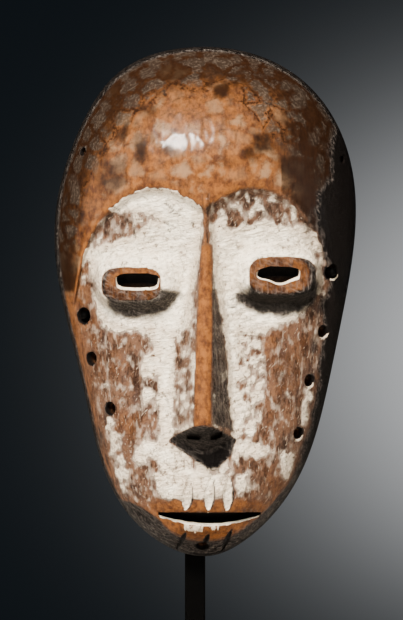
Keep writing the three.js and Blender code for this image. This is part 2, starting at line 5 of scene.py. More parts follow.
import bmesh
import bpy
import numpy as np
from bpy.props import FloatProperty, FloatVectorProperty, IntProperty, PointerProperty
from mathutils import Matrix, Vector


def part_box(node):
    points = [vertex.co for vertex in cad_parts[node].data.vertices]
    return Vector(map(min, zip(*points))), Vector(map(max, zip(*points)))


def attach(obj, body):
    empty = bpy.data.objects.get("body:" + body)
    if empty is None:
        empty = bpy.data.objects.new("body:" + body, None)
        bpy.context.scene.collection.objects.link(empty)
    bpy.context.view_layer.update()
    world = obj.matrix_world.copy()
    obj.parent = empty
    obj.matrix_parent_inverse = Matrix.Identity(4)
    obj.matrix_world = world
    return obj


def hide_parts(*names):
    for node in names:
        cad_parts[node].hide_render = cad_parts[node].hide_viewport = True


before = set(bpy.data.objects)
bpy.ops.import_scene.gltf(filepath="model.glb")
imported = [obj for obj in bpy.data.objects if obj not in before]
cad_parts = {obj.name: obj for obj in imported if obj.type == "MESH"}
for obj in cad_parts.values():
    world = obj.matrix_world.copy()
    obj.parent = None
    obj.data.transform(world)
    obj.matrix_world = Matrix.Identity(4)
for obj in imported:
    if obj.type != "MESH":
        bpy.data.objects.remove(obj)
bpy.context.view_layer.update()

bl_info = {
    "name": "Carved Mask on a Stand",
    "version": (1, 0, 0),
    "blender": (4, 5, 0),
    "location": "3D View > Sidebar > Mask",
    "description": "Carves and finishes a limed wooden mask, its steel stand and a plain studio",
    "category": "Add Mesh",
}

MM = 0.001
MASK_LOW, MASK_HIGH = (np.array(corner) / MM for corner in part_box("mask"))

# The mask's own millimetres: x from its middle line, z up from its chin, depth forward from its
# flat back. These sizes are the solid's.
HEIGHT = 300.0
WIDTH = 178.0
DEPTH = 62.0
EDGE = 12.0  # thickness along the outline
RIM = 10.0  # width of the flat back round the hollow
WALL = 9.0
CORNER = np.array([5.5, MASK_HIGH[1], MASK_LOW[2]])  # where the mask's own zero lies in the part


def linear(hex_colour):
    """Linear colour from an sRGB hex value such as #c08a5a"""
    values = [int(hex_colour[i : i + 2], 16) / 255 for i in (1, 3, 5)]
    return tuple(v / 12.92 if v <= 0.04045 else ((v + 0.055) / 1.055) ** 2.4 for v in values)


# ------------------------------------------------------------------ shapes in the mask's own space


def curve_through(points):
    """Smooth curve through [place, value] pairs"""
    xs, ys = np.array(points, float).T
    ends = np.diff(ys) / np.diff(xs)
    slopes = np.concatenate([ends[:1], (ys[2:] - ys[:-2]) / (xs[2:] - xs[:-2]), ends[-1:]])

    def at(place):
        place = np.clip(place, xs[0], xs[-1])
        i = np.clip(np.searchsorted(xs, place, side="right") - 1, 0, len(xs) - 2)
        step = xs[i + 1] - xs[i]
        t = (place - xs[i]) / step
        return (
            ys[i] * (1 + 2 * t) * (1 - t) ** 2
            + slopes[i] * step * t * (1 - t) ** 2
            + ys[i + 1] * t * t * (3 - 2 * t)
            + slopes[i + 1] * step * t * t * (t - 1)
        )

    return at


def smoothstep(value, low, high):
    t = np.clip((value - low) / (high - low), 0, 1)
    return t * t * (3 - 2 * t)


def mix(a, b, share):
    return a + (b - a) * share


def blend_max(a, b, radius):
    """The larger of two heights, with a fillet where they cross"""
    h = np.clip(0.5 + 0.5 * (a - b) / radius, 0, 1)
    return mix(b, a, h) + radius * h * (1 - h)


def height_angle(share):
    return np.arccos(np.clip(1 - 2 * share, -1, 1))


# The outline's reach on each side, as a sine series in shares of half the width
OUTLINE_LEFT = [0.977, -0.106, 0.048, 0.007, 0.010, -0.021]
OUTLINE_RIGHT = [0.988, -0.139, 0.044, -0.003, -0.012, -0.009]
# Depth up the middle line from the chin to the top, as shares of the height and the depth
CROWN = curve_through(
    [
        (float(height_angle(share)), depth)
        for share, depth in [
            (0, 0),
            (0.03, 0.32),
            (0.085, 0.63),
            (0.17, 0.75),
            (0.35, 0.79),
            (0.55, 0.85),
            (0.7, 0.98),
            (0.8, 1),
            (0.9, 0.75),
            (0.965, 0.36),
            (1, 0),
        ]
    ]
)
# The brow line, out from the middle, as shares of the width and the height
BROW = curve_through(
    [
        (0, 0.686),
        (0.06, 0.706),
        (0.14, 0.725),
        (0.225, 0.717),
        (0.3, 0.688),
        (0.36, 0.645),
        (0.4, 0.59),
        (0.43, 0.5),
    ]
)
# Soft forms of the face: place and reach as shares of the width and the height, and their height
FORMS = [
    (0.13, 0.6, 0.11, 0.1, -5.5),  # hollow beside the nose root
    (0.15, 0.4, 0.08, 0.16, -4.0),  # hollow beside the nose
    (0.3, 0.36, 0.1, 0.12, 2.0),  # cheek
    (0.0, 0.125, 0.2, 0.05, 3.5),  # upper lip
    (0.0, 0.052, 0.13, 0.018, 3.0),  # lower lip
]
# Middle of each eye block and of its slot, the way to the nose, and its stain's middle and half sizes
EYES = {
    "left": dict(x=-41.3, z=160.2, slot_x=-39.1, slot_z=162.4, inward=1, stain=(-42.7, 160.0, 17.1, 9.8)),
    "right": dict(x=44.7, z=164.7, slot_x=43.2, slot_z=166.4, inward=-1, stain=(45.4, 164.9, 19.1, 11.1)),
}
BLOCK_WIDTH = 38.0
BLOCK_HEIGHT = 20.5
BLOCK_PROUD = 8.5
BLOCK_TILT_DOWN = 0.13
BLOCK_TILT_OUT = 0.16
MOUND_NOSE_SIDE, MOUND_OUTER_SIDE = 9.0, 5.0  # how far a block's mound runs out
MOUND_ABOVE, MOUND_BELOW = 10.0, 7.0
MOUND_EASE = 1.1
SLOT_HALF_WIDTH = 12.0
SLOT_HALF_HEIGHT = 4.1
SLOT_POWER = 2.9
SLOT_BEVEL = 3.2
SLOT_SLOPE = 0.42
NOSE_TIP = 78.0
NOSE_ROOT = 207.0
NOSE_TIP_X, NOSE_ROOT_X = -1.07, 1.78  # the ridge leans from one to the other
NOSE_HALF = 19.4
NOSE_DROOP = 9  # how much lower the flanks end than the tip
NOSE_BASE = curve_through([(0, NOSE_HALF), (0.33, 17.2), (0.57, 13), (0.8, 7.5), (1, 2.6)])
NOSE_RIDGE = curve_through([(0, 4.7), (0.33, 4.4), (0.57, 3.8), (0.8, 2.7), (1, 0.9)])
NOSE_RISE = curve_through([(0, 23), (0.12, 21.5), (0.4, 16), (0.65, 11), (0.8, 7), (1, 3)])
NOSTRILS = [(-6.0, 71.2, 4.1, 1.7, 0.0), (6.9, 72.0, 4.0, 1.7, 0.45)]  # x, z, half sizes, turn
MOUTH_LEFT, MOUTH_RIGHT, MOUTH_TOP = -27.0, 33.1, 26.55
MOUTH_BEVEL = 3.4
MOUTH_SLOPE = 0.36
UPPER_LEAF = (2.75, 0.8)  # half width of a stroke and where it is fullest
LOWER_LEAF = (1.7, 1.0)
# Incised strokes over and under the mouth, each from one end to the other
UPPER_STROKES = [((-11.0, 27.9), (-8.9, 45.3)), ((2.1, 27.9), (3.7, 47.1)), ((13.2, 27.6), (14.4, 47.4))]
LOWER_STROKES = [((-16.4, 4.2), (-10.7, 14.7)), ((-0.7, 6.6), (2.8, 13.8)), ((10.3, 3.6), (16.0, 16.2))]
# Lower end of the front, where the jaw is cut back to the edge
JAW = curve_through(
    [
        (-60, 38),
        (-52.5, 34.4),
        (-45, 33.2),
        (-36, 29.3),
        (-28, 23.5),
        (-20, 15.5),
        (-10, 11),
        (0, 9.8),
        (10, 10.8),
        (20, 15),
        (31, 23.4),
        (38, 30),
        (44, 37.5),
        (51, 46),
        (60, 62),
    ]
)
# Drilled side holes: middle x and z, and radius
HOLES = [
    (-70.67, 141.9, 4.0),
    (-66.04, 116.7, 3.2),
    (-55.18, 87.3, 3.2),
    (-71.2, 237.9, 1.6),
    (75.47, 167.4, 4.0),
    (69.6, 132.3, 3.2),
    (61.59, 103.5, 3.2),
    (55.18, 72.6, 3.2),
    (81.35, 233.4, 1.6),
]
CHIN_HOLE = (-1.25, 6.0, 3.3)  # given as the side holes are
DRILL_SLANT = math.radians(32)
CHIN_SLANT = math.radians(48)


def half_width(x_sign, z):
    """Reach of the outline from the middle line, on the side that the sign gives"""
    angle = height_angle(z / HEIGHT)
    left = sum(size * np.sin((k + 1) * angle) for k, size in enumerate(OUTLINE_LEFT))
    right = sum(size * np.sin((k + 1) * angle) for k, size in enumerate(OUTLINE_RIGHT))
    return np.maximum(np.where(x_sign < 0, left, right) * WIDTH / 2, 1e-6)


def brow_height(x):
    return BROW(np.abs(x) / WIDTH) * HEIGHT


def plain_depth(x, z):
    """The face without its nose, eyes, mouth and strokes, as in the solid"""
    edge = np.clip(np.abs(x) / half_width(x, z), 0, 1)
    section = (1 - edge**2.4) ** 0.64
    depth = EDGE + (DEPTH - EDGE) * CROWN(height_angle(z / HEIGHT)) * section
    under = smoothstep(brow_height(x) - z, 0, 6)
    kept = 1 - smoothstep(edge, 0.86, 0.98)
    depth = depth - 4.2 * under * kept * smoothstep(z / HEIGHT, 0.22, 0.6)
    inner = 1 - smoothstep(edge, 0.7, 1)
    for place, up, across, along, height in FORMS:
        reach = ((np.abs(x) / WIDTH - place) / across) ** 2 + ((z / HEIGHT - up) / along) ** 2
        depth = depth + inner * height * np.exp(-reach)
    return depth


def nose_middle(up):
    return mix(NOSE_TIP_X, NOSE_ROOT_X, up)


def nose_droop(aside):
    """How far below the tip the nose's lower edge lies, by the distance from its middle line"""
    return NOSE_DROOP * np.minimum(aside / NOSE_HALF, 1.3) ** 1.5


def nose_depth(x, z, face):
    """The nose's own surface: a flat ridge, two flanks and the sloping underside"""
    length = NOSE_ROOT - NOSE_TIP
    up = np.clip((z - NOSE_TIP) / length, 0, 1)
    for _ in range(6):
        across = np.abs(x - nose_middle(up))
        drop = nose_droop(across) * (1 - up) ** 4
        up = np.clip((z + drop - NOSE_TIP) / length, 0, 1)
    ridge, base, rise = NOSE_RIDGE(up), NOSE_BASE(up), NOSE_RISE(up)
    flank = (across - ridge) / (base - ridge)
    shape = 1 - np.clip(flank, 0, 1) ** 0.9
    round_off = 0.9 * np.exp(-np.abs(across - ridge) / 1.1)
    body = rise * shape + 0.6 * np.clip(1 - across / ridge, 0, 1) - 2 * np.clip(flank, 0, 4) - round_off
    edge_z = NOSE_TIP - nose_droop(across)
    foot_z = mix(NOSE_TIP - 17, NOSE_TIP - 9.9, np.clip(across / NOSE_HALF, 0, 1))
    below = np.clip((edge_z - z) / (edge_z - foot_z), 0, 1.6)
    body = np.minimum(mix(body, -2.0, below), np.maximum(body, -2.0))
    past_top = np.clip((z - NOSE_ROOT) / 3, 0, 4)
    return face + body - 3 * past_top


def squared_distance(dx, dz, half_x, half_z, power):
    """1 on a rounded rectangle, less inside it"""
    return (np.abs(dx / half_x) ** power + np.abs(dz / half_z) ** power) ** (1 / power)


def turned_by(angle, dx, dz):
    """Offsets from a mark's middle, along its own two axes"""
    c, s = math.cos(angle), math.sin(angle)
    return dx * c + dz * s, dz * c - dx * s


def eye_spread(eye, x, z):
    """0 on the edge of an eye's block, 1 at the foot of its mound, negative on the block"""
    dx, dz = x - eye["x"], z - eye["z"]
    mound_x = np.where(dx * eye["inward"] > 0, MOUND_NOSE_SIDE, MOUND_OUTER_SIDE) * MOUND_EASE
    mound_z = np.where(dz > 0, MOUND_ABOVE, MOUND_BELOW) * MOUND_EASE
    low, high = np.full(x.shape, -0.9), np.full(x.shape, 4.0)
    for _ in range(22):
        spread = (low + high) / 2
        half_x, half_z = BLOCK_WIDTH / 2 + spread * mound_x, BLOCK_HEIGHT / 2 + spread * mound_z
        power = mix(3.8, 2.4, np.clip(spread, 0, 1))
        outside = squared_distance(dx, dz, half_x, half_z, power) > 1
        low, high = np.where(outside, spread, low), np.where(outside, high, spread)
    return (low + high) / 2


def block_plane(eye, x, z):
    """The flat top of an eye's block"""
    middle = float(plain_depth(np.array(eye["x"]), np.array(eye["z"]))) + BLOCK_PROUD
    return middle + BLOCK_TILT_DOWN * (eye["z"] - z) + BLOCK_TILT_OUT * eye["inward"] * (x - eye["x"])


def eye_depth(eye, x, z, face):
    """An eye's block and the mound that carries it"""
    spread = eye_spread(eye, x, z)
    t = np.clip(spread, 0, 1)
    below = smoothstep(eye["z"] - 2 - z, 0, 6)
    fall = mix(t**1.15 * mix(0.75, 1, t), 1 - (1 - t) ** 1.5, below)
    crisp = 0.5 * np.exp(-np.abs(spread) / 0.07)
    return mix(block_plane(eye, x, z), face - 1.0, fall) - crisp - 4 * np.clip(spread - 1, 0, 3)


def along_stroke(stroke, x, z):
    """Place along a stroke, 0 to 1, and distance to its middle line"""
    (x0, z0), (x1, z1) = stroke
    length = math.hypot(x1 - x0, z1 - z0)
    dx, dz = (x1 - x0) / length, (z1 - z0) / length
    return ((x - x0) * dx + (z - z0) * dz) / length, (x - x0) * dz - (z - z0) * dx


def stroke_cut(stroke, x, z, half, fullest):
    """1 on a leaf-shaped stroke's middle line, 0 at its edge and negative outside"""
    place, aside = along_stroke(stroke, x, z)
    inside = np.clip(place, 0, 1)
    reach = half * np.sin(np.pi * inside**fullest) ** 0.6 + 0.05
    over = np.maximum(np.abs(place - 0.5) - 0.5, 0) * 8
    return 1 - np.abs(aside) / reach - over


def mouth_bottom(x):
    share = np.clip((x - MOUTH_LEFT) / (MOUTH_RIGHT - MOUTH_LEFT), 0, 1)
    return MOUTH_TOP - 1.2 - 4.7 * np.sin(np.pi * share)


# ------------------------------------------------------------------ irregularity


def hashed_gradients(seed):
    random = np.random.RandomState(seed)
    gradients = random.normal(size=(256, 3))
    gradients /= np.linalg.norm(gradients, axis=1)[:, None]
    return random.permutation(256), gradients


def noise(points, seed=0):
    """Smooth irregularity, about -1 to 1, with forms one unit across"""
    order, gradients = hashed_gradients(seed)
    cell = np.floor(points).astype(int)
    inside = points - cell
    fade = inside**3 * (inside * (inside * 6 - 15) + 10)
    total = np.zeros(len(points))
    for corner in itertools.product((0, 1), repeat=3):
        x, y, z = ((cell[:, i] + corner[i]) & 255 for i in range(3))
        gradient = gradients[order[(order[(order[x] + y) & 255] + z) & 255]]
        weight = np.prod(np.where(np.array(corner), fade, 1 - fade), axis=1)
        total += weight * np.sum(gradient * (inside - corner), axis=1)
    return total * 1.7


def rough(points, octaves, seed=0):
    """Several sizes of irregularity, each half as large and half as strong"""
    return sum(noise(points * 2**k + 17.3 * k, seed + k) / 2**k for k in range(octaves))


def scallops(x, z, size, seed):
    """Shallow cuts of a gouge: 0 in the middle of each, about 1 on the ridges between them"""
    px, pz = x / size, z / size
    cell_x, cell_z = np.floor(px).astype(int), np.floor(pz).astype(int)
    random = np.random.RandomState(seed)
    jitter = random.uniform(0.1, 0.9, size=(64, 64, 2))
    nearest = np.full(x.shape, 9.0)
    second = np.full(x.shape, 9.0)
    for i, j in itertools.product((-1, 0, 1), repeat=2):
        jx, jz = (cell_x + i) & 63, (cell_z + j) & 63
        dx = cell_x + i + jitter[jx, jz, 0] - px
        dz = cell_z + j + jitter[jx, jz, 1] - pz
        distance = np.hypot(dx, dz)
        second = np.minimum(second, np.maximum(nearest, distance))
        nearest = np.minimum(nearest, distance)
    return 1 - np.clip(second - nearest, 0, 1)


def in_space(x, z, depth=0.0):
    return np.stack([x, np.zeros_like(x) + depth, z], axis=1)


# ------------------------------------------------------------------ where the finishes lie

# White clay: the thickest that its cover gets, in millimetres inside its outline, how flaky it is from
# 0 to 1, and its outline
CLAY_FIELDS = [
    # Left brow, round the left eye, and the strip beside the nose
    (6.0, 0.1, [(-49.5, 208.1), (-45.4, 211), (-38.3, 214), (-29.5, 215.1), (-20.6, 214.5), (-12.4, 212.8),
        (-5.9, 209.8), (-4.1, 205.1), (-4.1, 199.8), (-1.8, 196.9), (-0.6, 191), (-1.8, 183.9), (-2.9, 176.8),
        (-4.7, 168.6), (-5.9, 159.7), (-7.1, 150.9), (-7.7, 141.5), (-9.4, 135), (-13.6, 132.6),
        (-17.1, 128.5),
        (-17.7, 120.2), (-17.7, 97.8), (-18.3, 77.2), (-18.9, 70.1), (-21.8, 67.8), (-26.5, 67.8),
        (-26.5, 80.2),
        (-26.5, 94.9), (-27.1, 103.7), (-27.7, 107.3), (-32.4, 106.1), (-36.5, 107.3), (-37.7, 114.3),
        (-36, 119.6), (-28.9, 120.2), (-31.2, 127.3), (-33, 130.8), (-41.3, 132.6), (-48.9, 131.4),
        (-54.8, 133.8), (-59.5, 136.2), (-61.9, 141.5), (-63.7, 147.9), (-64.2, 156.8), (-64.2, 165.6),
        (-67.2, 169.7), (-69, 174.5), (-70.1, 179.2), (-66.6, 180.9), (-59.5, 183.3), (-52.5, 185.7),
        (-46, 187.4), (-40.7, 188.6), (-37.7, 191.6), (-40.7, 194.5), (-37.7, 196.9), (-32.4, 196.9),
        (-27.7, 196.9), (-31.2, 199.8), (-38.3, 201.6), (-45.4, 202.2), (-51.3, 203.3), (-54.8, 202.8),
        (-56, 205.7), (-52.5, 209.2)]),
    # Left of the nose's tip
    (6.0, 0.15, [(-35.4, 72.5), (-33.6, 68.4), (-27.7, 66.6), (-19.5, 67.2), (-15.9, 63.7), (-11.2, 59.5),
        (-14.7, 55.4), (-17.1, 50.7), (-21.8, 49.5), (-25.9, 51.9), (-27.7, 56.6), (-32.4, 58.4), (-35.4, 56),
        (-39.5, 54.8), (-41.8, 57.2), (-40.1, 63.1), (-37.7, 67.8)]),
    # Over the mouth, and under the nose
    (3.0, 0.2, [(-27.7, 49.5), (-19.5, 50.1), (-13.6, 54.8), (-7.7, 54.2), (-0.6, 51.9), (5.9, 49.5),
        (11.2, 48.3), (13, 42.4), (12.4, 37.1), (5.3, 35.4), (-2.9, 34.2), (-10, 33.6), (-17.1, 33.6),
        (-25.3, 34.8), (-28.9, 40.7)]),
    (0.3, 0.4, [(-15.9, 62.5), (-8.8, 57.8), (0, 53), (10, 53), (17.1, 61.3), (19.5, 55.4), (12.4, 46),
        (0, 49.5), (-11.8, 51.9), (-17.1, 55.4)]),
    # Right brow, dusty and flaked
    (-0.8, 0.9, [(4.1, 206.3), (7.1, 211), (13.6, 213.4), (20.6, 215.1), (29.5, 215.1), (37.1, 213.4),
        (44.2, 211), (50.1, 208.1), (52.5, 203.9), (52.5, 199.2), (56, 195.7), (50.1, 192.1), (33.6, 193.3),
        (15.9, 191), (3.5, 192.1)]),
    # Round the right eye, and the strip beside the nose
    (6.0, 0.1, [(2.9, 193.3), (8.8, 196.9), (15.9, 192.7), (23.6, 195.1), (33.6, 197.4), (41.3, 194.5),
        (50.1, 194.5), (57.8, 192.1), (63.1, 188.6), (65.4, 182.7), (66, 175.6), (65.4, 156.8), (63.1, 150.9),
        (57.8, 143.2), (53.6, 140.3), (47.2, 137.3), (41.3, 133.8), (33.6, 131.4), (26.5, 128.5),
        (20.6, 130.3),
        (21.3, 132), (20.5, 124.4), (22, 103.7), (23, 86.1), (23.6, 73.1), (18.3, 68.4), (15.9, 70.1),
        (14.1, 80.2), (13.6, 91.9), (13, 109.6), (12.4, 121.4), (11.2, 133.2), (9.4, 145), (7.1, 156.8),
        (5.3, 168.6), (4.7, 177.4), (4.1, 186.3)]),
    # Streaky wash right of that strip
    (0.4, 0.75, [(18.3, 130.3), (26.5, 128.5), (33.6, 124.4), (34.8, 103.7), (33.6, 86.1), (30.1, 74.3),
        (23.6, 70.7), (19.5, 73.1), (17.7, 97.8), (16.5, 121.4)]),
    # Right of the nose's tip, the right cheek and what is left along the two sides
    (4.0, 0.25, [(18.3, 67.8), (24.2, 68.4), (30.1, 67.2), (36, 64.8), (40.1, 62.5), (38.3, 59.5),
        (31.2, 58.4), (25.3, 59.5), (20.6, 60.7), (15.9, 63.1)]),
    (3.0, 0.35, [(43.6, 61.3), (48.3, 63.1), (51.9, 59.5), (52.5, 53), (50.7, 47.2), (47.7, 46), (46, 50.7),
        (43.6, 55.4)]),
    (1.2, 0.4, [(60.1, 97.8), (62.5, 93.1), (60.7, 84.9), (58.4, 76), (56, 77.2), (57.8, 87.2)]),
    (1.2, 0.4, [(-69.5, 102.6), (-66, 101.4), (-63.1, 93.1), (-60.7, 81.3), (-63.7, 80.2), (-67.2, 89.6)]),
    (1.2, 0.4, [(-56, 81.3), (-53, 79.6), (-51.3, 72.5), (-50.1, 63.1), (-53.6, 63.1), (-56, 71.9)]),
    (3.0, 0.2, [(-35.4, 100.2), (-31.2, 100.8), (-28.9, 96.1), (-30.1, 90.8), (-34.2, 89.6), (-36.5, 94.3)]),
    (1.0, 0.4, [(66, 173.3), (69, 175.1), (69.5, 165.6), (69, 155.6), (66.6, 155), (66, 163.9)]),
    (1.0, 0.4, [(-70.7, 163.3), (-68.4, 168), (-67.8, 160.9), (-70.1, 158.5)]),
    (0.4, 0.8, [(-57.2, 60.7), (-48.9, 58.9), (-44.2, 53), (-47.7, 33), (-54.8, 38.9), (-59.5, 50.7)]),
    (1.5, 0.2, [(20, 48.3), (24.2, 48.9), (25.3, 45.4), (24.2, 38.9), (20.6, 37.7), (19.5, 42.4)]),
]
NOSE_RIGHT_FLANK = [(4.1, 180.4), (5.3, 168.6), (7.1, 156.8), (9.4, 145), (11.8, 130.3), (13.6, 115.5),
    (14.1, 97.8), (15.9, 83.1), (18.3, 71.9), (13.6, 75.4), (4.7, 77.8), (3.5, 91.9), (3.5, 150.9)]
# Where the clay has worn off: how far it is gone, how flaky what is left is, and the outline
WORN_FIELDS = [
    # Band under the left brow
    (1.4, 0.55, [(-70.7, 193.3), (-66, 201.6), (-58.4, 203.9), (-51.3, 202.8), (-44.2, 202.8), (-37.1, 201),
        (-28.9, 198), (-33.6, 194.5), (-37.7, 192.1), (-40.1, 188.6), (-46, 187.4), (-54.8, 184.5),
        (-61.9, 182.1), (-69, 180.4), (-71.9, 183.9)]),
    # Left and right flank of the nose
    (0.9, 0.7, [(-17.1, 129.1), (-13, 133.2), (-8.8, 137.3), (-5.3, 143.8), (-2.4, 150.9), (-1.8, 133.2),
        (-3.5, 103.7), (-3.5, 77.2), (-11.8, 73.1), (-18.3, 69.5), (-17.7, 91.9), (-17.7, 115.5)]),
    (1.6, 0.55, NOSE_RIGHT_FLANK),
    # The right brow, and two places on it
    (1.1, 0.9, [(4.6, 199), (8, 210), (20, 214.4), (36, 213.4), (50, 208), (55.4, 198), (48, 196),
        (36, 200.5),
        (24, 200.5), (12, 195.5)]),
    (2.6, 0.6, [(11.8, 202.8), (15.9, 205.1), (20.6, 202.8), (21.8, 196.9), (19.5, 192.7), (14.7, 193.3),
        (12.4, 198)]),
    (2.5, 0.6, [(33.6, 207.5), (40.7, 208.6), (46.6, 206.3), (47.2, 199.2), (43, 194.5), (37.1, 196.9),
        (33.6, 202.2)]),
]
# Smoke and painted shade: its strength, how softly it ends in millimetres, and its outline
SMOKE_AND_SHADE_FIELDS = [
    # Painted shadow below the nose's underside
    (0.92, 1.3, [(-19.5, 69), (-14, 62.5), (-6.5, 57.2), (1, 52.4), (4.5, 51.2), (8.5, 52.8), (13, 57.4),
        (17, 62.5), (18.6, 70), (0, 72)]),
    # Right side of the face and the temple: smoke, and painted shade on the side away from the light
    (0.97, 5.0, [(65.4, 215.7), (63.1, 202.8), (66, 186.3), (68.4, 174.5), (71.9, 169.7), (71.9, 159.1),
        (66.6, 150.9), (67.8, 133.2), (66, 115.5), (63.1, 91.9), (58.9, 74.3), (54.2, 59.5), (49.5, 46),
        (41.3, 33), (33.6, 25.9), (56, 12.4), (82.5, 74.3), (98.4, 150.9), (98.4, 209.8), (89.5, 251.1),
        (76.9, 261.7), (71.3, 239.3), (72.5, 224.6)]),
    # Painted shade under the left and the right eye: their undersides and the shadow cast below them
    (0.88, 5.0, [(-60, 163), (-59.6, 156), (-58.6, 146.4), (-54, 141.2), (-48.2, 138.6), (-38.3, 137.8),
        (-29.5, 139), (-21.8, 142.6), (-15.6, 148.2), (-11.2, 153.4), (-13.2, 157), (-20, 158.6), (-27, 161),
        (-45, 161)]),
    (0.95, 4.4, [(15.6, 150.8), (17, 155.4), (23, 157.6), (26.5, 161.5), (45, 163), (58, 164), (60.5, 172),
        (66.5, 170), (68.4, 156.8), (64.4, 145.9), (54.8, 141.4), (44.2, 139.8), (33.6, 140.9),
        (22.6, 144.8)]),
    # Painted shadow under the tip of the nose
    (1.0, 3.4, [(-9, 61), (-4, 56.6), (1, 51.6), (4.5, 50.2), (8.5, 51.8), (14, 57), (18.6, 63.5), (10, 66),
        (0, 63.5)]),
]
# Dabs on the forehead: middle x and z, half sizes, turn and strength
DABS = [
    (-28.9, 288.8, 4.7, 4.7, 0.1, 0.9), (-36.5, 283.5, 3.5, 3.5, 0.2, 0.6), (-21.8, 291.2, 2.9, 3.5, 0, 0.5),
    (-15.3, 293.5, 3.5, 4.1, 0.1, 0.65), (-7.1, 295.9, 4.7, 3.5, 0, 0.75), (2.9, 293.5, 5.3, 4.7, 0, 0.85),
    (-4.1, 285.3, 4.1, 1.8, 0.1, 0.8), (-46.6, 281.7, 3.5, 4.1, 0.4, 0.9), (-46, 271.7, 2.4, 4.7, 0.1, 0.5),
    (-56, 271.7, 2.9, 3.5, 0.4, 0.6), (-58.4, 264.6, 4.1, 4.7, 0.3, 0.85), (-64.8, 257.6, 2.4, 3.5, 0.5, 0.6),
    (-70.1, 249.3, 2.4, 4.1, 0.4, 0.55), (-74.9, 238.1, 2.4, 4.7, 0.3, 0.4),
    (-76.6, 218.7, 4.7, 8.8, 0.1, 0.75),
    (-23.6, 272.3, 2.4, 2.9, 0.2, 0.6), (-13.6, 271.1, 2.9, 2.9, 0, 0.5), (-12.4, 264.6, 2.4, 2.4, 0, 0.45),
    (-33.6, 269.9, 2.9, 2.9, 0.2, 0.35), (18.3, 291.8, 4.7, 3.5, -0.1, 0.85),
    (28.9, 288.8, 3.5, 3.5, -0.3, 0.75),
    (39.5, 287, 3.5, 3.5, -0.4, 0.75), (20.6, 284.7, 4.7, 2.4, -0.1, 0.5),
    (16.5, 280.6, 4.1, 1.8, -0.1, 0.85),
    (33.6, 282.3, 3.5, 1.8, -0.3, 0.6), (48.3, 276.4, 5.3, 4.1, -0.2, 0.9), (33.6, 273.5, 3.5, 2.9, 0, 0.5),
    (37.1, 267, 4.7, 4.7, -0.1, 0.75), (56, 268.2, 5.3, 6.5, 0.3, 0.9), (50.7, 259.3, 3.5, 3.5, 0.2, 0.7),
    (41.3, 250.5, 2.9, 2.9, 0, 0.65), (29.5, 249.3, 5.3, 3.5, -0.2, 0.6), (64.2, 245.2, 5.3, 5.9, 0.1, 0.75),
    (14.7, 267.6, 3.5, 4.7, 0, 0.5), (5.9, 264.6, 2.4, 2.9, 0, 0.5), (9.4, 252.3, 4.7, 7.1, 0, 0.4),
    (17.7, 239.3, 5.3, 5.3, 0, 0.4), (50.1, 239.3, 5.3, 4.1, 0, 0.5), (67.8, 224, 4.7, 7.7, -0.1, 0.5),
    (75.4, 245.2, 4.1, 5.3, -0.2, 0.4), (71.3, 256.4, 4.1, 4.1, -0.3, 0.4),
    (78.4, 231.6, 3.5, 5.3, -0.1, 0.35),
    (-26.5, 229.9, 5.3, 7.7, 0, 0.4), (-37.1, 248.7, 4.7, 4.7, 0, 0.4), (-44.2, 258.2, 4.1, 4.1, 0, 0.4),
    (29.5, 226.3, 3.5, 3.5, 0, 0.4), (0, 269.9, 2.9, 2.9, 0, 0.3), (-2.9, 259.3, 3.5, 3.5, 0, 0.3),
    (24.8, 261.7, 3.5, 4.1, 0, 0.4), (61.9, 258.2, 2.9, 3.5, 0, 0.3), (-67.8, 233.4, 3.5, 4.1, 0.2, 0.4),
    (-61.9, 221.6, 3.5, 4.1, 0, 0.35), (60.7, 214.5, 3.5, 4.1, 0, 0.35), (79.6, 215.7, 2.9, 5.3, 0, 0.3),
    (-80.2, 201, 2.9, 5.3, 0, 0.4), (-78.4, 186.3, 2.4, 4.7, 0, 0.3),
]
# Dark blots and seams on the forehead, given as the dabs are
BLOTS = [
    (10, 273.5, 2.9, 2.9, 0, 0.9), (2.4, 277, 2.4, 2.4, 0, 0.6), (-36.5, 235.8, 2.4, 7.1, 0.1, 0.8),
    (-20, 239.3, 2.9, 2.9, 0, 0.6), (-47.2, 249.3, 1.8, 4.1, -0.4, 0.7), (33.6, 242.2, 4.1, 4.1, 0, 0.75),
    (27.1, 233.4, 2.9, 4.1, 0.3, 0.7), (54.8, 251.1, 5.9, 4.1, 0, 0.85), (54.8, 229.9, 7.7, 4.7, 0.1, 0.95),
    (46.6, 222.8, 4.7, 2.9, 0, 0.7), (-14.7, 281.7, 14.1, 1.5, 0.05, 0.9), (-58.9, 248.7, 2.9, 1.8, 0, 0.7),
    (-34.2, 262.9, 5.3, 2.4, -0.3, 0.6), (-49.5, 261.7, 2.9, 2.4, 0, 0.5), (-53, 267, 1.8, 5.3, 0.2, 0.8),
    (-51.3, 275.8, 1.8, 5.3, 0.2, 0.8), (-61.9, 229.9, 5.3, 2.9, 0.2, 0.6),
    (41.3, 280.6, 5.3, 2.9, -0.4, 0.8),
    (63.1, 259.3, 7.7, 2.9, -0.3, 0.85), (71.3, 212.2, 9.4, 8.3, 0, 0.8), (-76.6, 201, 4.1, 4.7, 0, 0.8),
    (8.8, 290, 1.8, 3.5, 0, 0.8), (-4.7, 288.8, 2.4, 2.4, 0, 0.6), (-26.5, 277.6, 5.3, 1.8, 0.1, 0.5),
    (43, 261.7, 2.4, 5.3, 0.2, 0.5), (70.7, 234.6, 5.9, 7.1, 0, 0.7), (-69, 245.2, 2.4, 5.3, 0.3, 0.5),
    (17.7, 230.5, 5.3, 2.9, 0, 0.4), (-50.1, 226.3, 2.4, 2.4, 0, 0.5), (24.8, 275.8, 5.3, 2.4, -0.2, 0.4),
    (46, 268.8, 1.8, 5.3, 0.2, 0.6), (56, 279.4, 3.5, 2.9, -0.5, 0.8), (23.6, 268.8, 2.4, 2.9, 0, 0.45),
    (-9.4, 253.4, 4.1, 2.4, 0, 0.25), (-29.5, 245.2, 2.9, 2.9, 0, 0.35),
]
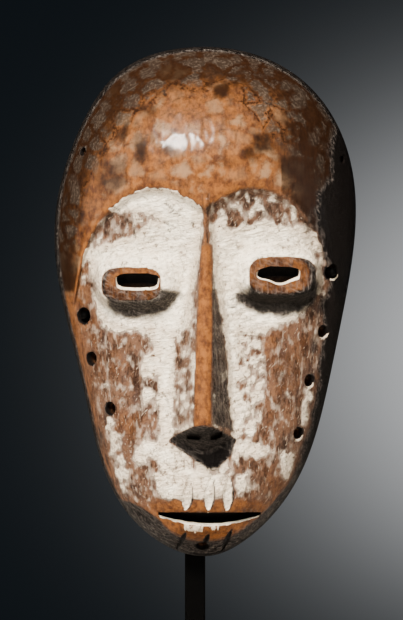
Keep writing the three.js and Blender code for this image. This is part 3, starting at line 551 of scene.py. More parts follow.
# Orange stain and smoke on the worn cheeks and brows: middle x and z, reach each way, strength
CHEEK_STAINS = [
    (-46, 77.2, 7, 10.6, 0.5), (-51.3, 114.3, 4.7, 4.7, 0.5), (39.5, 127.3, 4.7, 8.3, 0.5),
    (56, 121.4, 4.7, 8.8, 0.55), (37.1, 80.2, 3.5, 11.8, 0.4), (41.3, 41.8, 8.3, 10.6, 0.6),
    (-32.4, 30, 8, 4.5, 0.8), (24.5, 32, 6.5, 5, 1.0), (-75, 130, 7, 40, 0.35), (46, 108, 13, 24, 0.35),
]
CHEEK_SMOKE = [
    (47.2, 106.7, 8, 9, 0.5), (44.2, 92, 6, 7, 0.4), (54.2, 71.3, 5, 6, 0.5), (63.7, 124.4, 3.5, 7, 0.6),
    (-68, 112, 4, 12, 0.3), (-62, 66, 5, 16, 0.55), (27, 27, 7, 6, 0.5), (30, 44, 5, 5, 0.3),
    (50, 112, 12, 22, 0.35), (-40, 36, 8, 6, 0.2), (-69, 150, 3, 8, 0.3), (47, 66, 8, 10, 0.3),
    (28, 206, 26, 7, 0.36), (16, 203, 7, 8, 0.42), (41, 203, 11, 9, 0.45), (-50, 196, 15, 6, 0.3),
    (61, 192, 5, 12, 0.5),
]
# Clay that has run down over the lower lip, as outlines
LIP_DRIPS = [
    [(-11.8, 19.6), (-0.6, 18.6), (-0.9, 14.6), (-10.4, 15.2)],
    [(3.6, 18.6), (9.2, 19), (8.6, 15.8), (4.4, 15.8)],
]
# Scored lines, each from one end to the other
SCORES = [((-23.6, 208.1), (-17.1, 202.2)), ((-21.8, 202.8), (-13, 199.8)), ((-24.8, 196.9), (-15.9, 192.7)),
    ((-7.7, 196.9), (-4.7, 192.7)), ((-54.2, 206.3), (-48.9, 202.8)), ((-21.8, 192.7), (-19.5, 189.8)),
    ((-41.8, 193.3), (-40.1, 186.3)), ((17.6, 149.7), (14.1, 153.2)), ((13, 147.3), (20, 145.5))]


def inside_by(x, z, outline):
    """Millimetres inside a closed outline, negative outside it"""
    nearest = np.full(x.shape, 1e9)
    within = np.zeros(x.shape, bool)
    for (x0, z0), (x1, z1) in zip(outline, outline[1:] + outline[:1]):
        along_x, along_z = x1 - x0, z1 - z0
        t = np.clip(((x - x0) * along_x + (z - z0) * along_z) / (along_x**2 + along_z**2), 0, 1)
        nearest = np.minimum(nearest, np.hypot(x - x0 - t * along_x, z - z0 - t * along_z))
        if z0 != z1:
            within ^= ((z0 > z) != (z1 > z)) & (x < x0 + (z - z0) / along_z * along_x)
    return np.where(within, nearest, -nearest)


def dabbed(x, z, dabs, low, high):
    """1 on a strong dab, fading between two shares of its half size"""
    total = np.zeros(x.shape)
    for at_x, at_z, half_x, half_z, turn, strength in dabs:
        reach = squared_distance(*turned_by(turn, x - at_x, z - at_z), half_x, half_z, 3.2)
        total = np.maximum(total, strength * (1 - smoothstep(reach, low, high)))
    return total


def oval(x, z, at_x, at_z, reach_x, reach_z):
    """1 in the middle of a soft oval, falling to 0 round it"""
    return np.exp(-(((x - at_x) / reach_x) ** 2) - ((z - at_z) / reach_z) ** 2)


def swayed(x, z, size, reach, seed):
    """The same places moved a little, so that drawn outlines turn ragged"""
    points = in_space(x / size, z / size)
    return x + reach * noise(points, seed), z + reach * noise(points, seed + 1)


def rim_share(x, z):
    """0 in the middle of the mask and 1 on its outline"""
    up = np.clip(2 * z / HEIGHT - 1, -1, 1)
    return np.hypot(x * np.sqrt(1 - up**2) / half_width(x, z), up)


def ridge_share(x, z):
    """1 on the nose's flat ridge, 0 off it"""
    up = np.clip((z - NOSE_TIP) / (NOSE_ROOT - NOSE_TIP), 0, 1)
    aside = np.abs(x - nose_middle(up))
    on = 1 - smoothstep(aside - NOSE_RIDGE(up), -0.3, 0.8)
    return on * smoothstep(z, 76.5, 78.5) * (1 - smoothstep(z, 181.5, 184))


def underside_share(x, z):
    """1 on the nose's sloping underside"""
    aside = np.abs(x - NOSE_TIP_X)
    edge_z = NOSE_TIP - nose_droop(aside)
    foot_z = mix(NOSE_TIP - 17.5, NOSE_TIP - 10.2, np.clip(aside / NOSE_HALF, 0, 1))
    side = 1 - smoothstep(aside, 18.6, 20)
    return side * (1 - smoothstep(z - edge_z, -0.6, 0.9)) * smoothstep(z - foot_z, -1.0, 0.6)


def stain_reach(eye, x, z):
    """1 on the outline of an eye block's stain, less inside it"""
    at_x, at_z, half_x, half_z = eye["stain"]
    return squared_distance(x - at_x, z - at_z, half_x, half_z, 3.4)


def block_stain_share(x, z):
    """1 on the stained top of an eye block, 0 off it"""
    share = np.zeros(x.shape)
    for eye in EYES.values():
        share = np.maximum(share, 1 - smoothstep(stain_reach(eye, x, z), 0.95, 1.06))
    return share


def middle_line(x, z):
    """1 on the bare line that runs from the brow to the nose"""
    half = mix(1.5, 2.8, smoothstep(z, 194, 210))
    on = 1 - smoothstep(np.abs(x - 1.0), half * 0.7, half * 1.2)
    return on * smoothstep(z, 181, 185) * (1 - smoothstep(z, 211, 217))


def score_marks(x, z):
    """1 along short scored lines in the clay"""
    total = np.zeros(x.shape)
    for mark in SCORES:
        place, aside = along_stroke(mark, x, z)
        ends = smoothstep(place, -0.05, 0.15) * (1 - smoothstep(place, 0.85, 1.05))
        total = np.maximum(total, ends * (1 - smoothstep(np.abs(aside), 0.3, 0.9)))
    return total


def face_share(x, z):
    """1 on the limed face between the brow, the jaw and the sides"""
    wave = 1.9 * rough(in_space(x / 3.6, z / 3.6), 2, 35)
    inside = smoothstep(brow_height(x) - z + wave, -1.4, 2.6)
    inside = inside * (1 - smoothstep(np.abs(x) / half_width(x, z), 0.87, 0.97))
    return inside * smoothstep(z - JAW(x), -0.5, 1.5)


def stained_share(x, z):
    """1 on the eye blocks, the ridge and the lips, which carry stain alone"""
    ragged_z = z + 1.5 * noise(in_space(x / 5, z / 5), 39)
    lips = (1 - smoothstep(ragged_z, 31, 35)) * smoothstep(z - JAW(x), 0, 1.5)
    lips = lips * (1 - smoothstep(np.abs(x - 3), 29, 36))
    return np.maximum(np.maximum(ridge_share(x, z), block_stain_share(x, z)), lips)


NO_CLAY = -6.0


def clay_cover(x, z):
    """Millimetres of clay between a place and the nearest bare wood, negative on bare wood"""
    wx, wz = swayed(*swayed(x, z, 8, 1.1, 33), 2.6, 0.7, 51)
    cover, flaky = np.full(x.shape, -2.6), np.full(x.shape, 0.45)
    for most, ragged, outline in CLAY_FIELDS:
        within = inside_by(wx, wz, outline) + 3.2 * smoothstep(z - brow_height(x), -13, -3) * (most > 2)
        cover = np.maximum(cover, np.minimum(within, most))
        flaky = mix(flaky, ragged, smoothstep(within, -1.5, 1.5))
    for least, ragged, outline in WORN_FIELDS:
        within = smoothstep(inside_by(wx, wz, outline), -0.8, 1.5)
        cover, flaky = mix(cover, -least, within), mix(flaky, ragged, within)
    line = middle_line(x, z)
    cover, flaky = mix(cover, -3.0, line), mix(flaky, 0.35, line)
    grain = rough(in_space(x / 4.2, z / 6.5), 3, 21)
    cover = cover + (1.0 + 4.0 * flaky) * grain
    chips = noise(in_space(x / 2.6, z / 3.0), 22)
    cover = cover - 5 * smoothstep(chips, 0.72, 0.9)
    bare = np.maximum(stained_share(x, z), underside_share(x, z))
    cover = mix(cover, NO_CLAY, bare)
    streaks = 2.2 * noise(in_space(x / 1.2, z / 5), 47)
    for outline in LIP_DRIPS:
        cover = np.maximum(cover, np.minimum(inside_by(x, z, outline), 1.0) + streaks - 0.3)
    return mix(NO_CLAY, cover, face_share(x, z))


def ochre_stain(x, z):
    """Warm orange stain, strongest along the brow, on the eye blocks, the ridge and the lips"""
    above = z - brow_height(x)
    rim = rim_share(x, z)
    wx, wz = swayed(x, z, 14, 5, 36)
    # Less stain on the right, where the painted shade lies
    left_of_shade = 1 - 0.88 * smoothstep(x, 36, 52)
    band = 0.95 * smoothstep(above, -3, 0) * (1 - 0.4 * smoothstep(above, 12, 60))
    stain = band * (1 - smoothstep(rim, 0.84, 0.97)) * left_of_shade
    wide = 0.7 * smoothstep(above, 0, 8) * (1 - smoothstep(rim, 0.86, 0.96))
    stain = np.maximum(stain, wide * left_of_shade)
    stain = np.maximum(stain, 0.4 * smoothstep(above, 0, 6))
    stain = np.maximum(stain, 0.6 * (x < 0) * smoothstep(rim, 0.75, 0.85) * smoothstep(z, 90, 150))
    for at_x, at_z, reach_x, reach_z, strength in CHEEK_STAINS:
        stain = np.maximum(stain, strength * oval(wx, wz, at_x, at_z, reach_x, reach_z))
    stain = np.maximum(stain, 0.8 * middle_line(x, z))
    stain = mix(stain, 0.95, stained_share(x, z))
    return np.clip(stain, 0, 1)


def soot_and_painted_shade(x, z):
    """Smoke and dirt, and painted shade: the jaw, undersides, the right side and the outer edge"""
    edge = np.abs(x) / half_width(x, z)
    wx, wz = swayed(x, z, 6, 1.4, 38)
    # The jaw: smoke, and painted shade where it turns down and back
    soot = 0.8 * smoothstep(JAW(x) - z, -0.6, 1.6) * (1 - smoothstep(np.abs(x), 52, 60))
    # The nose's underside: dark wood, and painted shade where it faces down
    soot = np.maximum(soot, 0.92 * underside_share(x, z))
    # Darker along the outline and the rim: smoke, and painted shade where the sides turn from the light
    soot = np.maximum(soot, 0.93 * smoothstep(edge, 0.955, 0.985))
    soot = np.maximum(soot, 0.945 * smoothstep(rim_share(x, z), 0.972, 0.99))
    for strength, soft, outline in SMOKE_AND_SHADE_FIELDS:
        soot = np.maximum(soot, strength * smoothstep(inside_by(wx, wz, outline), -0.4 * soft, soft))
    for at_x, at_z, reach_x, reach_z, strength in CHEEK_SMOKE:
        soot = np.maximum(soot, strength * oval(wx, wz, at_x, at_z, reach_x, reach_z))
    soot = np.maximum(soot, 0.5 * middle_line(x, z) * smoothstep(np.abs(x - 0.2), 0.0, 1.4))
    # Smoke, and painted shade, on the nose's right flank, the side away from the light
    flank = inside_by(x, z, NOSE_RIGHT_FLANK)
    soot = np.maximum(soot, 0.66 * smoothstep(flank, -0.5, 1.0))
    # Painted shadow along the mouth's top edge, under the upper lip
    painted_shadow_over_mouth = oval(x, z, 3.0, 26.0, 27, 2.6) * (0.75 + 0.5 * noise(in_space(x / 4, z / 2), 45))
    soot = np.maximum(soot, 0.6 * painted_shadow_over_mouth)
    soot = np.maximum(soot, 0.7 * score_marks(x, z))
    soot = mix(soot, 0.14, ridge_share(x, z))
    # Painted shade on the eye blocks: darker towards each block's outer side and lower edge, and on the right
    # block as a whole
    blocks = block_stain_share(x, z)
    outer = np.zeros(x.shape)
    for eye in EYES.values():
        at_x, at_z = eye["stain"][:2]
        side = smoothstep((x - at_x) * -eye["inward"], 2, 18) + 0.5 * smoothstep(at_z - z, 2, 9)
        outer = np.maximum(outer, smoothstep(stain_reach(eye, x, z), 0.72, 1.0) * np.clip(side, 0, 1))
    soot = mix(soot, 0.34 + 0.12 * (x > 0) + 0.5 * outer, blocks)
    for stroke in LOWER_STROKES:
        soot = np.maximum(soot, smoothstep(stroke_cut(stroke, x, z, *LOWER_LEAF), -0.2, 0.3))
    # Painted shadow along the edges of the upper strokes, stronger on one side
    for stroke in UPPER_STROKES:
        _, aside = along_stroke(stroke, x, z)
        wide_leaf = smoothstep(stroke_cut(stroke, x, z, 3.7, 0.8), -0.1, 0.12)
        side = wide_leaf * smoothstep(np.abs(aside), 0.6, 1.4)
        soot = np.maximum(soot, side * np.where(aside > 0, 0.85, 0.4))
    return np.clip(soot, 0, 1)


def forehead_dark(x, z):
    """Darkened wood on the forehead: its rim, seams and blots, with painted shade along the rim and the right
    side
    """
    wx, wz = swayed(x, z, 5, 1.3, 44)
    rim = rim_share(x, z)
    # Darker wood and painted shade along the rim, down the right side away from the light and at the left
    # edge
    dark = 0.3 * smoothstep(rim, 0.5, 0.78) + 0.62 * smoothstep(rim, 0.78, 0.95)
    dark = np.maximum(dark, 0.95 * smoothstep(x, 20, 66) * smoothstep(rim, 0.3, 0.7))
    dark = np.maximum(dark, 0.4 * smoothstep(-x, 66, 82))
    dark = np.maximum(dark, dabbed(wx, wz, BLOTS, 0.3, 3.4))
    dark = np.maximum(dark, 0.5 * oval(wx, wz, 40, 244, 20, 22) + 0.65 * oval(wx, wz, -54, 222, 18, 18))
    seams = scallops(wx, wz, 10, 9) ** 6
    dark = np.maximum(dark, 0.55 * seams * smoothstep(rim, 0.3, 0.8))
    above = z - brow_height(x)
    # The painted shade reaches further down on the right
    shaded = 9 * smoothstep(x, 34, 52)
    clear_brow = mix(1.0, smoothstep(above, 8, 22), (np.abs(x) < 45) * 0.7)
    return dark * smoothstep(above + shaded, 1, 9) * clear_brow


# ------------------------------------------------------------------ the carved surface


def front_depth(x, z):
    """The finished front of the mask"""
    face = plain_depth(x, z)
    edge = np.abs(x) / half_width(x, z)
    inner = 1 - smoothstep(edge, 0.9, 1)
    above = z - brow_height(x)
    face = face + inner * 0.5 * np.exp(-(((above - 4) / 6) ** 2)) * smoothstep(z, 110, 150)
    # The jaw is cut back below a crease, and the lower lip stands out as a roll
    below = JAW(x) - z
    central = 1 - smoothstep(np.abs(x), 52, 60)
    face = face + central * (1.3 * np.exp(-((below / 2.4) ** 2)) - 1.2 * smoothstep(below, 0, 4))
    roll = np.exp(-(((z - 15) / 4.5) ** 2)) * (1 - smoothstep(np.abs(x), 16, 29))
    face = face + 1.2 * roll
    depth = blend_max(face, nose_depth(x, z, face), 1.6)
    for eye in EYES.values():
        depth = blend_max(depth, eye_depth(eye, x, z, face), 1.2)
    # The middle of the brow runs down to the nose as a fine raised line
    line = np.exp(-(((x - 0.9) / 1.7) ** 2)) * smoothstep(z, 180, 186) * (1 - smoothstep(z, 204, 210))
    depth = depth + 0.8 * line
    for stroke in UPPER_STROKES:
        depth = depth - 1.2 * smoothstep(stroke_cut(stroke, x, z, *UPPER_LEAF), 0, 0.45)
    for stroke in LOWER_STROKES:
        depth = depth - 1.4 * np.clip(stroke_cut(stroke, x, z, *LOWER_LEAF), 0, 1)
    for at_x, at_z, half_x, half_z, turn in NOSTRILS:
        reach = squared_distance(*turned_by(turn, x - at_x, z - at_z), half_x, half_z, 2.2)
        depth = depth - 5 * smoothstep(1.12 - reach, 0, 0.35)
    return depth + relief(x, z) * smoothstep(1 - edge, 0, 0.03)


def relief(x, z):
    """Gouge cuts, grain, thick brushed clay with its chips, dents and scored lines"""
    forehead = smoothstep(z - brow_height(x), 0, 10)
    bend = in_space(x / 30, z / 30)
    sway_x, sway_z = x + 5 * noise(bend, 31), z + 5 * noise(bend + 9, 32)
    cuts = scallops(sway_x, sway_z, 11, 5) ** 3
    height = mix(0.10, 0.22, forehead) * (cuts - 0.3)
    height += mix(0.16, 0.04, forehead) * noise(in_space(x / 2.2, z / 26), 11)
    height += mix(0.25, 0.12, forehead) * rough(in_space(x / 14, z / 16), 3, 12)
    cover = clay_cover(x, z)
    covered = smoothstep(cover, -0.2, 0.5)
    height += 0.42 * covered + 0.46 * covered * rough(in_space(x / 3.8, z / 2.6), 3, 25)
    for eye in EYES.values():
        ring = np.hypot((x - eye["x"]) / 1.15, z - eye["z"] - 2)
        brushed = smoothstep(ring, 22, 26) * (1 - smoothstep(ring, 35, 42)) * covered
        height += 0.2 * brushed * np.sin(2.1 * ring + 2.6 * noise(in_space(x / 6, z / 6), 26))
    height += 0.12 * smoothstep(-cover, 0, 1) * rough(in_space(x / 2.4, z / 7), 2, 27)
    height -= 0.45 * score_marks(x, z)
    jaw = smoothstep(JAW(x) - z, 0, 3)
    height += 0.3 * jaw * noise(in_space(x / 9, z / 2.0), 14)
    return height


def back_depth(x, z, outer):
    """The hollow, gouged out at the wall's thickness"""
    sway = in_space(x / 40, z / 40)
    cuts = scallops(x + 6 * noise(sway, 41), z + 6 * noise(sway, 42), 13, 8) ** 2
    return outer - WALL - 0.9 * (1 - cuts) + 0.2 * noise(in_space(x / 3, z / 20), 43)


def disc_grid(columns, rows, crowding):
    """Grid over the unit disc, with cells closer together towards its edge"""
    u, v = np.meshgrid(np.linspace(-1, 1, columns + 1), np.linspace(-1, 1, rows + 1))
    x, z = u * np.sqrt(1 - v * v / 2), v * np.sqrt(1 - u * u / 2)
    r = np.hypot(x, z)
    wanted = mix(r, np.sin(np.pi / 2 * np.clip(r, 0, 1)), crowding)
    scale = np.where(r > 1e-9, wanted / np.maximum(r, 1e-9), 1)
    return x * scale, z * scale


END_GAP = 0.003  # the outline has no width at its very ends


def on_mask(disc_x, disc_z):
    """Places on the mask for places on the unit disc"""
    z = HEIGHT / 2 * (1 + disc_z)
    sine = np.sqrt(np.clip(1 - disc_z**2, 1e-12, 1))
    return disc_x / sine * half_width(disc_x, np.clip(z, END_GAP, HEIGHT - END_GAP)), z


def grid_faces(columns, rows, flip):
    i = np.arange(columns)[None, :] + (columns + 1) * np.arange(rows)[:, None]
    quads = np.stack([i, i + 1, i + columns + 2, i + columns + 1], axis=-1).reshape(-1, 4)
    return quads[:, ::-1] if flip else quads


def border_of(columns, rows):
    """Indices round a grid, anticlockwise from its lower left corner"""
    low = np.arange(columns + 1)
    right = (np.arange(1, rows + 1)) * (columns + 1) + columns
    top = rows * (columns + 1) + np.arange(columns - 1, -1, -1)
    left = np.arange(rows - 1, 0, -1) * (columns + 1)
    return np.concatenate([low, right, top, left])


def flat_direction(points):
    """Unit directions from the mask's middle to points, in the plane of its back"""
    away = points - np.array([0.0, 0.0, HEIGHT / 2])
    away[:, 1] = 0
    return away / np.maximum(np.linalg.norm(away, axis=1)[:, None], 1e-6)


def faces_between(first, second):
    """Faces between two rings of as many points"""
    return np.stack([first, second, np.roll(second, -1), np.roll(first, -1)], axis=1).tolist()


def rim_faces(points, outer, inner):
    """Flat rim between two rings of different counts, joined by their angles round the mask"""

    def turned(ring):
        return np.unwrap(np.arctan2(points[ring, 2] - HEIGHT / 2, points[ring, 0]))

    def nearest_turn(angles):
        return angles + 2 * np.pi * round((outer_angle[0] - angles[0]) / (2 * np.pi))

    outer_angle = turned(outer)
    inner_angle = nearest_turn(turned(inner))
    shift = int(np.argmin(np.abs(inner_angle - outer_angle[0])))
    if abs(inner_angle[shift] - outer_angle[0]) > 0.2:
        shift = 0
    inner = np.roll(inner, -shift)
    inner_angle = nearest_turn(turned(inner))
    faces = []
    n, m = len(outer), len(inner)
    i = j = 0
    while i < n or j < m:
        a, b = outer[i % n], inner[j % m]
        next_outer = outer_angle[(i + 1) % n] + 2 * np.pi * ((i + 1) // n)
        next_inner = inner_angle[(j + 1) % m] + 2 * np.pi * ((j + 1) // m)
        if j >= m or (i < n and next_outer <= next_inner):
            faces.append([a, b, outer[(i + 1) % n]])
            i += 1
        else:
            faces.append([a, b, inner[(j + 1) % m]])
            j += 1
    return faces


# Depth and inset of each step down the squared outer edge, whose back corner is worn, and depth and
# outset of each step from the hollow to the flat rim
OUTER_STEPS = [(9.5, 0.0), (7, 0.1), (4.5, 0.1), (2.4, 0.1), (1.0, 0.35), (0.25, 0.9), (0.0, 1.8)]
LIP_DEPTH = 3.0
LIP_STEPS = [(1.0, 0.15), (0.25, 0.45), (0.0, 1.2)]


def carved_mesh(settings):
    """Vertices in the mask's own millimetres (x, depth, z) and faces of the whole closed mask"""
    verts, faces = [], []

    def add(points):
        """Add points and give back their indices"""
        start = sum(map(len, verts))
        verts.append(points)
        return start + np.arange(len(points))

    columns, rows = settings.front_columns, settings.front_rows
    x, z = (a.ravel() for a in on_mask(*disc_grid(columns, rows, 0.5)))
    front = np.stack([x, front_depth(x, z), z], axis=1)
    outer = border_of(columns, rows)
    front[outer, 1] = EDGE
    add(front)
    faces.extend(grid_faces(columns, rows, False).tolist())
    edge = front[outer]
    outward = flat_direction(edge)
    wear = 0.35 * np.abs(rough(edge / 9, 2, 51)) + 0.1
    for depth, inset in OUTER_STEPS:
        level = edge - outward * (inset * (0.6 + wear))[:, None]
        level[:, 1] = depth
        ring = add(level)
        faces.extend(faces_between(outer, ring))
        outer = ring
    # The hollow
    columns, rows = settings.back_columns, settings.back_rows
    x, z = (a.ravel() for a in on_mask(*disc_grid(columns, rows, 0.5)))
    reach = half_width(x, np.clip(z, END_GAP, HEIGHT - END_GAP))
    inner_x = x * np.maximum(0, 1 - RIM / np.maximum(reach, RIM))
    inner_z = RIM + z * (HEIGHT - 2 * RIM) / HEIGHT
    hollow = np.stack([inner_x, back_depth(x, z, plain_depth(x, z)), inner_z], axis=1)
    border = border_of(columns, rows)
    hollow[border, 1] = LIP_DEPTH
    indices = add(hollow)
    faces.extend((grid_faces(columns, rows, True) + indices[0]).tolist())
    inner, lip = indices[border], hollow[border]
    away = flat_direction(lip)
    for depth, outset in LIP_STEPS:
        level = lip + away * outset
        level[:, 1] = depth
        ring = add(level)
        faces.extend(faces_between(ring, inner))
        inner = ring
    points = np.concatenate(verts)
    return points, faces + rim_faces(points, outer, inner)


def skinned(rings):
    """Closed mesh over rings of points, with a point in the middle of each end"""
    count = len(rings[0])
    verts = np.concatenate(rings + [rings[0].mean(0)[None], rings[-1].mean(0)[None]])
    first, last = len(rings) * count, len(rings) * count + 1
    faces = []
    for i in range(count):
        j = (i + 1) % count
        faces.append([first, j, i])
        faces.append([last, (len(rings) - 1) * count + i, (len(rings) - 1) * count + j])
        for k in range(len(rings) - 1):
            faces.append([k * count + i, k * count + j, (k + 1) * count + j, (k + 1) * count + i])
    return verts, faces


def eye_slot_cutter(eye, side):
    """Knife-cut slot that narrows and runs down into the hollow, its lower edge bevelled"""
    angles = np.linspace(0, 2 * np.pi, 96, endpoint=False)
    c, s = np.cos(angles), np.sin(angles)
    left = side == "left"
    wobble = 0.32 * noise(in_space(c * 2.1, s * 2.1), 61 if left else 62)
    rings = []
    for offset in (5, 2, 0.8, 0.2, -0.4, -1, -1.7, -2.4, -3.2, -4, -6, -9, -12, -15, -18, -22, -28, -36):
        bevel = np.clip(1 + offset / SLOT_BEVEL, 0, 1)
        run = max(-offset - SLOT_BEVEL, 0)
        narrowed = 1 - 0.045 * min(run, 14)
        px = np.sign(c) * np.abs(c) ** (2 / SLOT_POWER) * (SLOT_HALF_WIDTH + wobble + 0.9 * bevel)
        pz = np.sign(s) * np.abs(s) ** (2 / SLOT_POWER) * (SLOT_HALF_HEIGHT + wobble) * narrowed
        if not left:  # its lower edge bellies in the middle, and its end by the nose hangs
            pz = np.where(s < 0, pz * (0.6 + 0.72 * np.exp(-(((px - 0.5) / 6.2) ** 2))), pz)
            pz = pz - 0.6 * smoothstep(-px, 4, 12)
        pz = pz - bevel * 2.1 * smoothstep(-s, 0.0, 0.5) * (1 if left else 0.75 + 0.03 * px)
        x, z = eye["slot_x"] + px, eye["slot_z"] + pz - SLOT_SLOPE * run
        rings.append(np.stack([x, block_plane(eye, x, eye["slot_z"] + pz) + offset, z], axis=1))
    return skinned(rings[::-1])


def mouth_cutter():
    """Cut that narrows inward, with a sagging lower edge that is bevelled to the front"""
    across = np.linspace(0, 1, 48)
    x = mix(MOUTH_LEFT, MOUTH_RIGHT, across)
    lip = np.sin(np.pi * np.clip(across, 0.02, 0.98)) ** 0.4
    bevel_height = lip * mix(3.0, 2.2, across) + 0.25 * noise(in_space(x / 5, x * 0), 73) * lip
    bottom = mouth_bottom(x) + 0.3 * noise(in_space(x / 4, x * 0), 71) * lip
    base = front_depth(x, bottom - bevel_height)
    top = np.full_like(x, MOUTH_TOP) + 0.2 * noise(in_space(x / 5, x * 0), 72)
    rings = []
    for offset in (14, 8, 4, 2, 1, 0.3, -0.3, -1, -1.8, -2.6, -3.4, -5, -8, -11, -15, -20, -26, -34):
        bevel = np.clip(1 + offset / MOUTH_BEVEL, 0, 1)
        run = min(max(-offset - 2, 0), 16)
        low = bottom - bevel * bevel_height - MOUTH_SLOPE * run
        high = np.maximum(mix(top, low, run / 16 * 0.68), low + 0.15)
        outline_x = np.concatenate([x, x[::-1]])
        outline_z = np.concatenate([low, high[::-1]])
        depth = np.concatenate([base, base[::-1]]) + offset
        rings.append(np.stack([outline_x, depth, outline_z], axis=1))
    return skinned(rings[::-1])


def hole_line(x, z, chin=False):
    """Mouth of a drilled hole and the direction into the wood, as x, depth, z"""
    mouth = np.array([x, float(plain_depth(np.array(x), np.array(z))), z])
    if chin:
        return mouth, np.array([0, -math.cos(CHIN_SLANT), math.sin(CHIN_SLANT)])
    inward = np.array([-math.copysign(math.sin(DRILL_SLANT), x), -math.cos(DRILL_SLANT), 0])
    return mouth, inward


def hole_cutter(x, z, radius, seed, chin=False):
    """Burnt and reamed hole, wider at its worn mouth"""
    mouth, inward = hole_line(x, z, chin)
    side = np.cross(inward, [0, 0, 1.0])
    side /= np.linalg.norm(side)
    up = np.cross(side, inward)
    angles = np.linspace(0, 2 * np.pi, 32, endpoint=False)
    wobble = 1 + 0.06 * noise(in_space(np.cos(angles) * 1.4, np.sin(angles) * 1.4), seed)
    rings = []
    for along in (-10, -3, -1, 0, 0.6, 1.2, 2, 3, 4.5, 6, 8, 10, 13, 17, 22, 26):
        flare = 0.9 * (1 - smoothstep(np.array(along), -0.5, 2.5))
        r = (radius * wobble + flare)[:, None]
        ring = mouth + inward * along + r * (np.cos(angles)[:, None] * side + np.sin(angles)[:, None] * up)
        rings.append(ring)
    return skinned(rings)


def mesh_object(name, verts, faces):
    """New object in the part's metres from points in the mask's own millimetres"""
    placed = np.array(verts, float)
    placed = np.stack([placed[:, 0], -placed[:, 1], placed[:, 2]], axis=1) + CORNER
    mesh = bpy.data.meshes.new(name)
    mesh.from_pydata((placed * MM).tolist(), [], [list(map(int, face)) for face in faces])
    mesh.update()
    thing = bpy.data.objects.new(name, mesh)
    bpy.context.scene.collection.objects.link(thing)
    return thing


def joined(parts):
    """One list of points and faces from several"""
    verts, faces, start = [], [], 0
    for points, polygons in parts:
        verts.append(points)
        faces.extend([[v + start for v in polygon] for polygon in polygons])
        start += len(points)
    return np.concatenate(verts), faces


def face_outward(thing):
    """Turn the faces outward, which a clean cut needs"""
    work = bmesh.new()
    work.from_mesh(thing.data)
    bmesh.ops.recalc_face_normals(work, faces=work.faces)
    work.to_mesh(thing.data)
    work.free()


def cut_away(thing, cutter):
    """Subtract one object from another and keep only the result"""
    face_outward(thing)
    face_outward(cutter)
    carve = thing.modifiers.new("carve", "BOOLEAN")
    carve.operation = "DIFFERENCE"
    carve.solver = "MANIFOLD"
    carve.object = cutter
    graph = bpy.context.evaluated_depsgraph_get()
    result = bpy.data.meshes.new_from_object(thing.evaluated_get(graph))
    thing.modifiers.clear()
    old = thing.data
    thing.data = result
    bpy.data.meshes.remove(old)
    shape = cutter.data
    bpy.data.objects.remove(cutter)
    bpy.data.meshes.remove(shape)


def coordinates(thing):
    """A mesh's points in the part's metres"""
    flat = np.empty(len(thing.data.vertices) * 3)
    thing.data.vertices.foreach_get("co", flat)
    return flat.reshape(-1, 3)


def own_points(thing):
    """A mesh's points as x, depth, z in the mask's own millimetres"""
    points = coordinates(thing) / MM - CORNER
    return points[:, 0], -points[:, 1], points[:, 2]


def keep_in_solid_box(thing, low, high):
    points = np.clip(coordinates(thing), np.array(low) * MM, np.array(high) * MM)
    thing.data.vertices.foreach_set("co", points.ravel())
    thing.data.update()


def store(thing, name, values):
    layer = thing.data.attributes.new(name, "FLOAT", "POINT")
    layer.data.foreach_set("value", np.ascontiguousarray(values, dtype=np.float32))


# The soot layer also carries painted shade: undersides, openings, edges and the right side
LAYERS = ("clay", "face", "ochre", "soot", "dab", "dark", "crown", "forehead", "hollow")


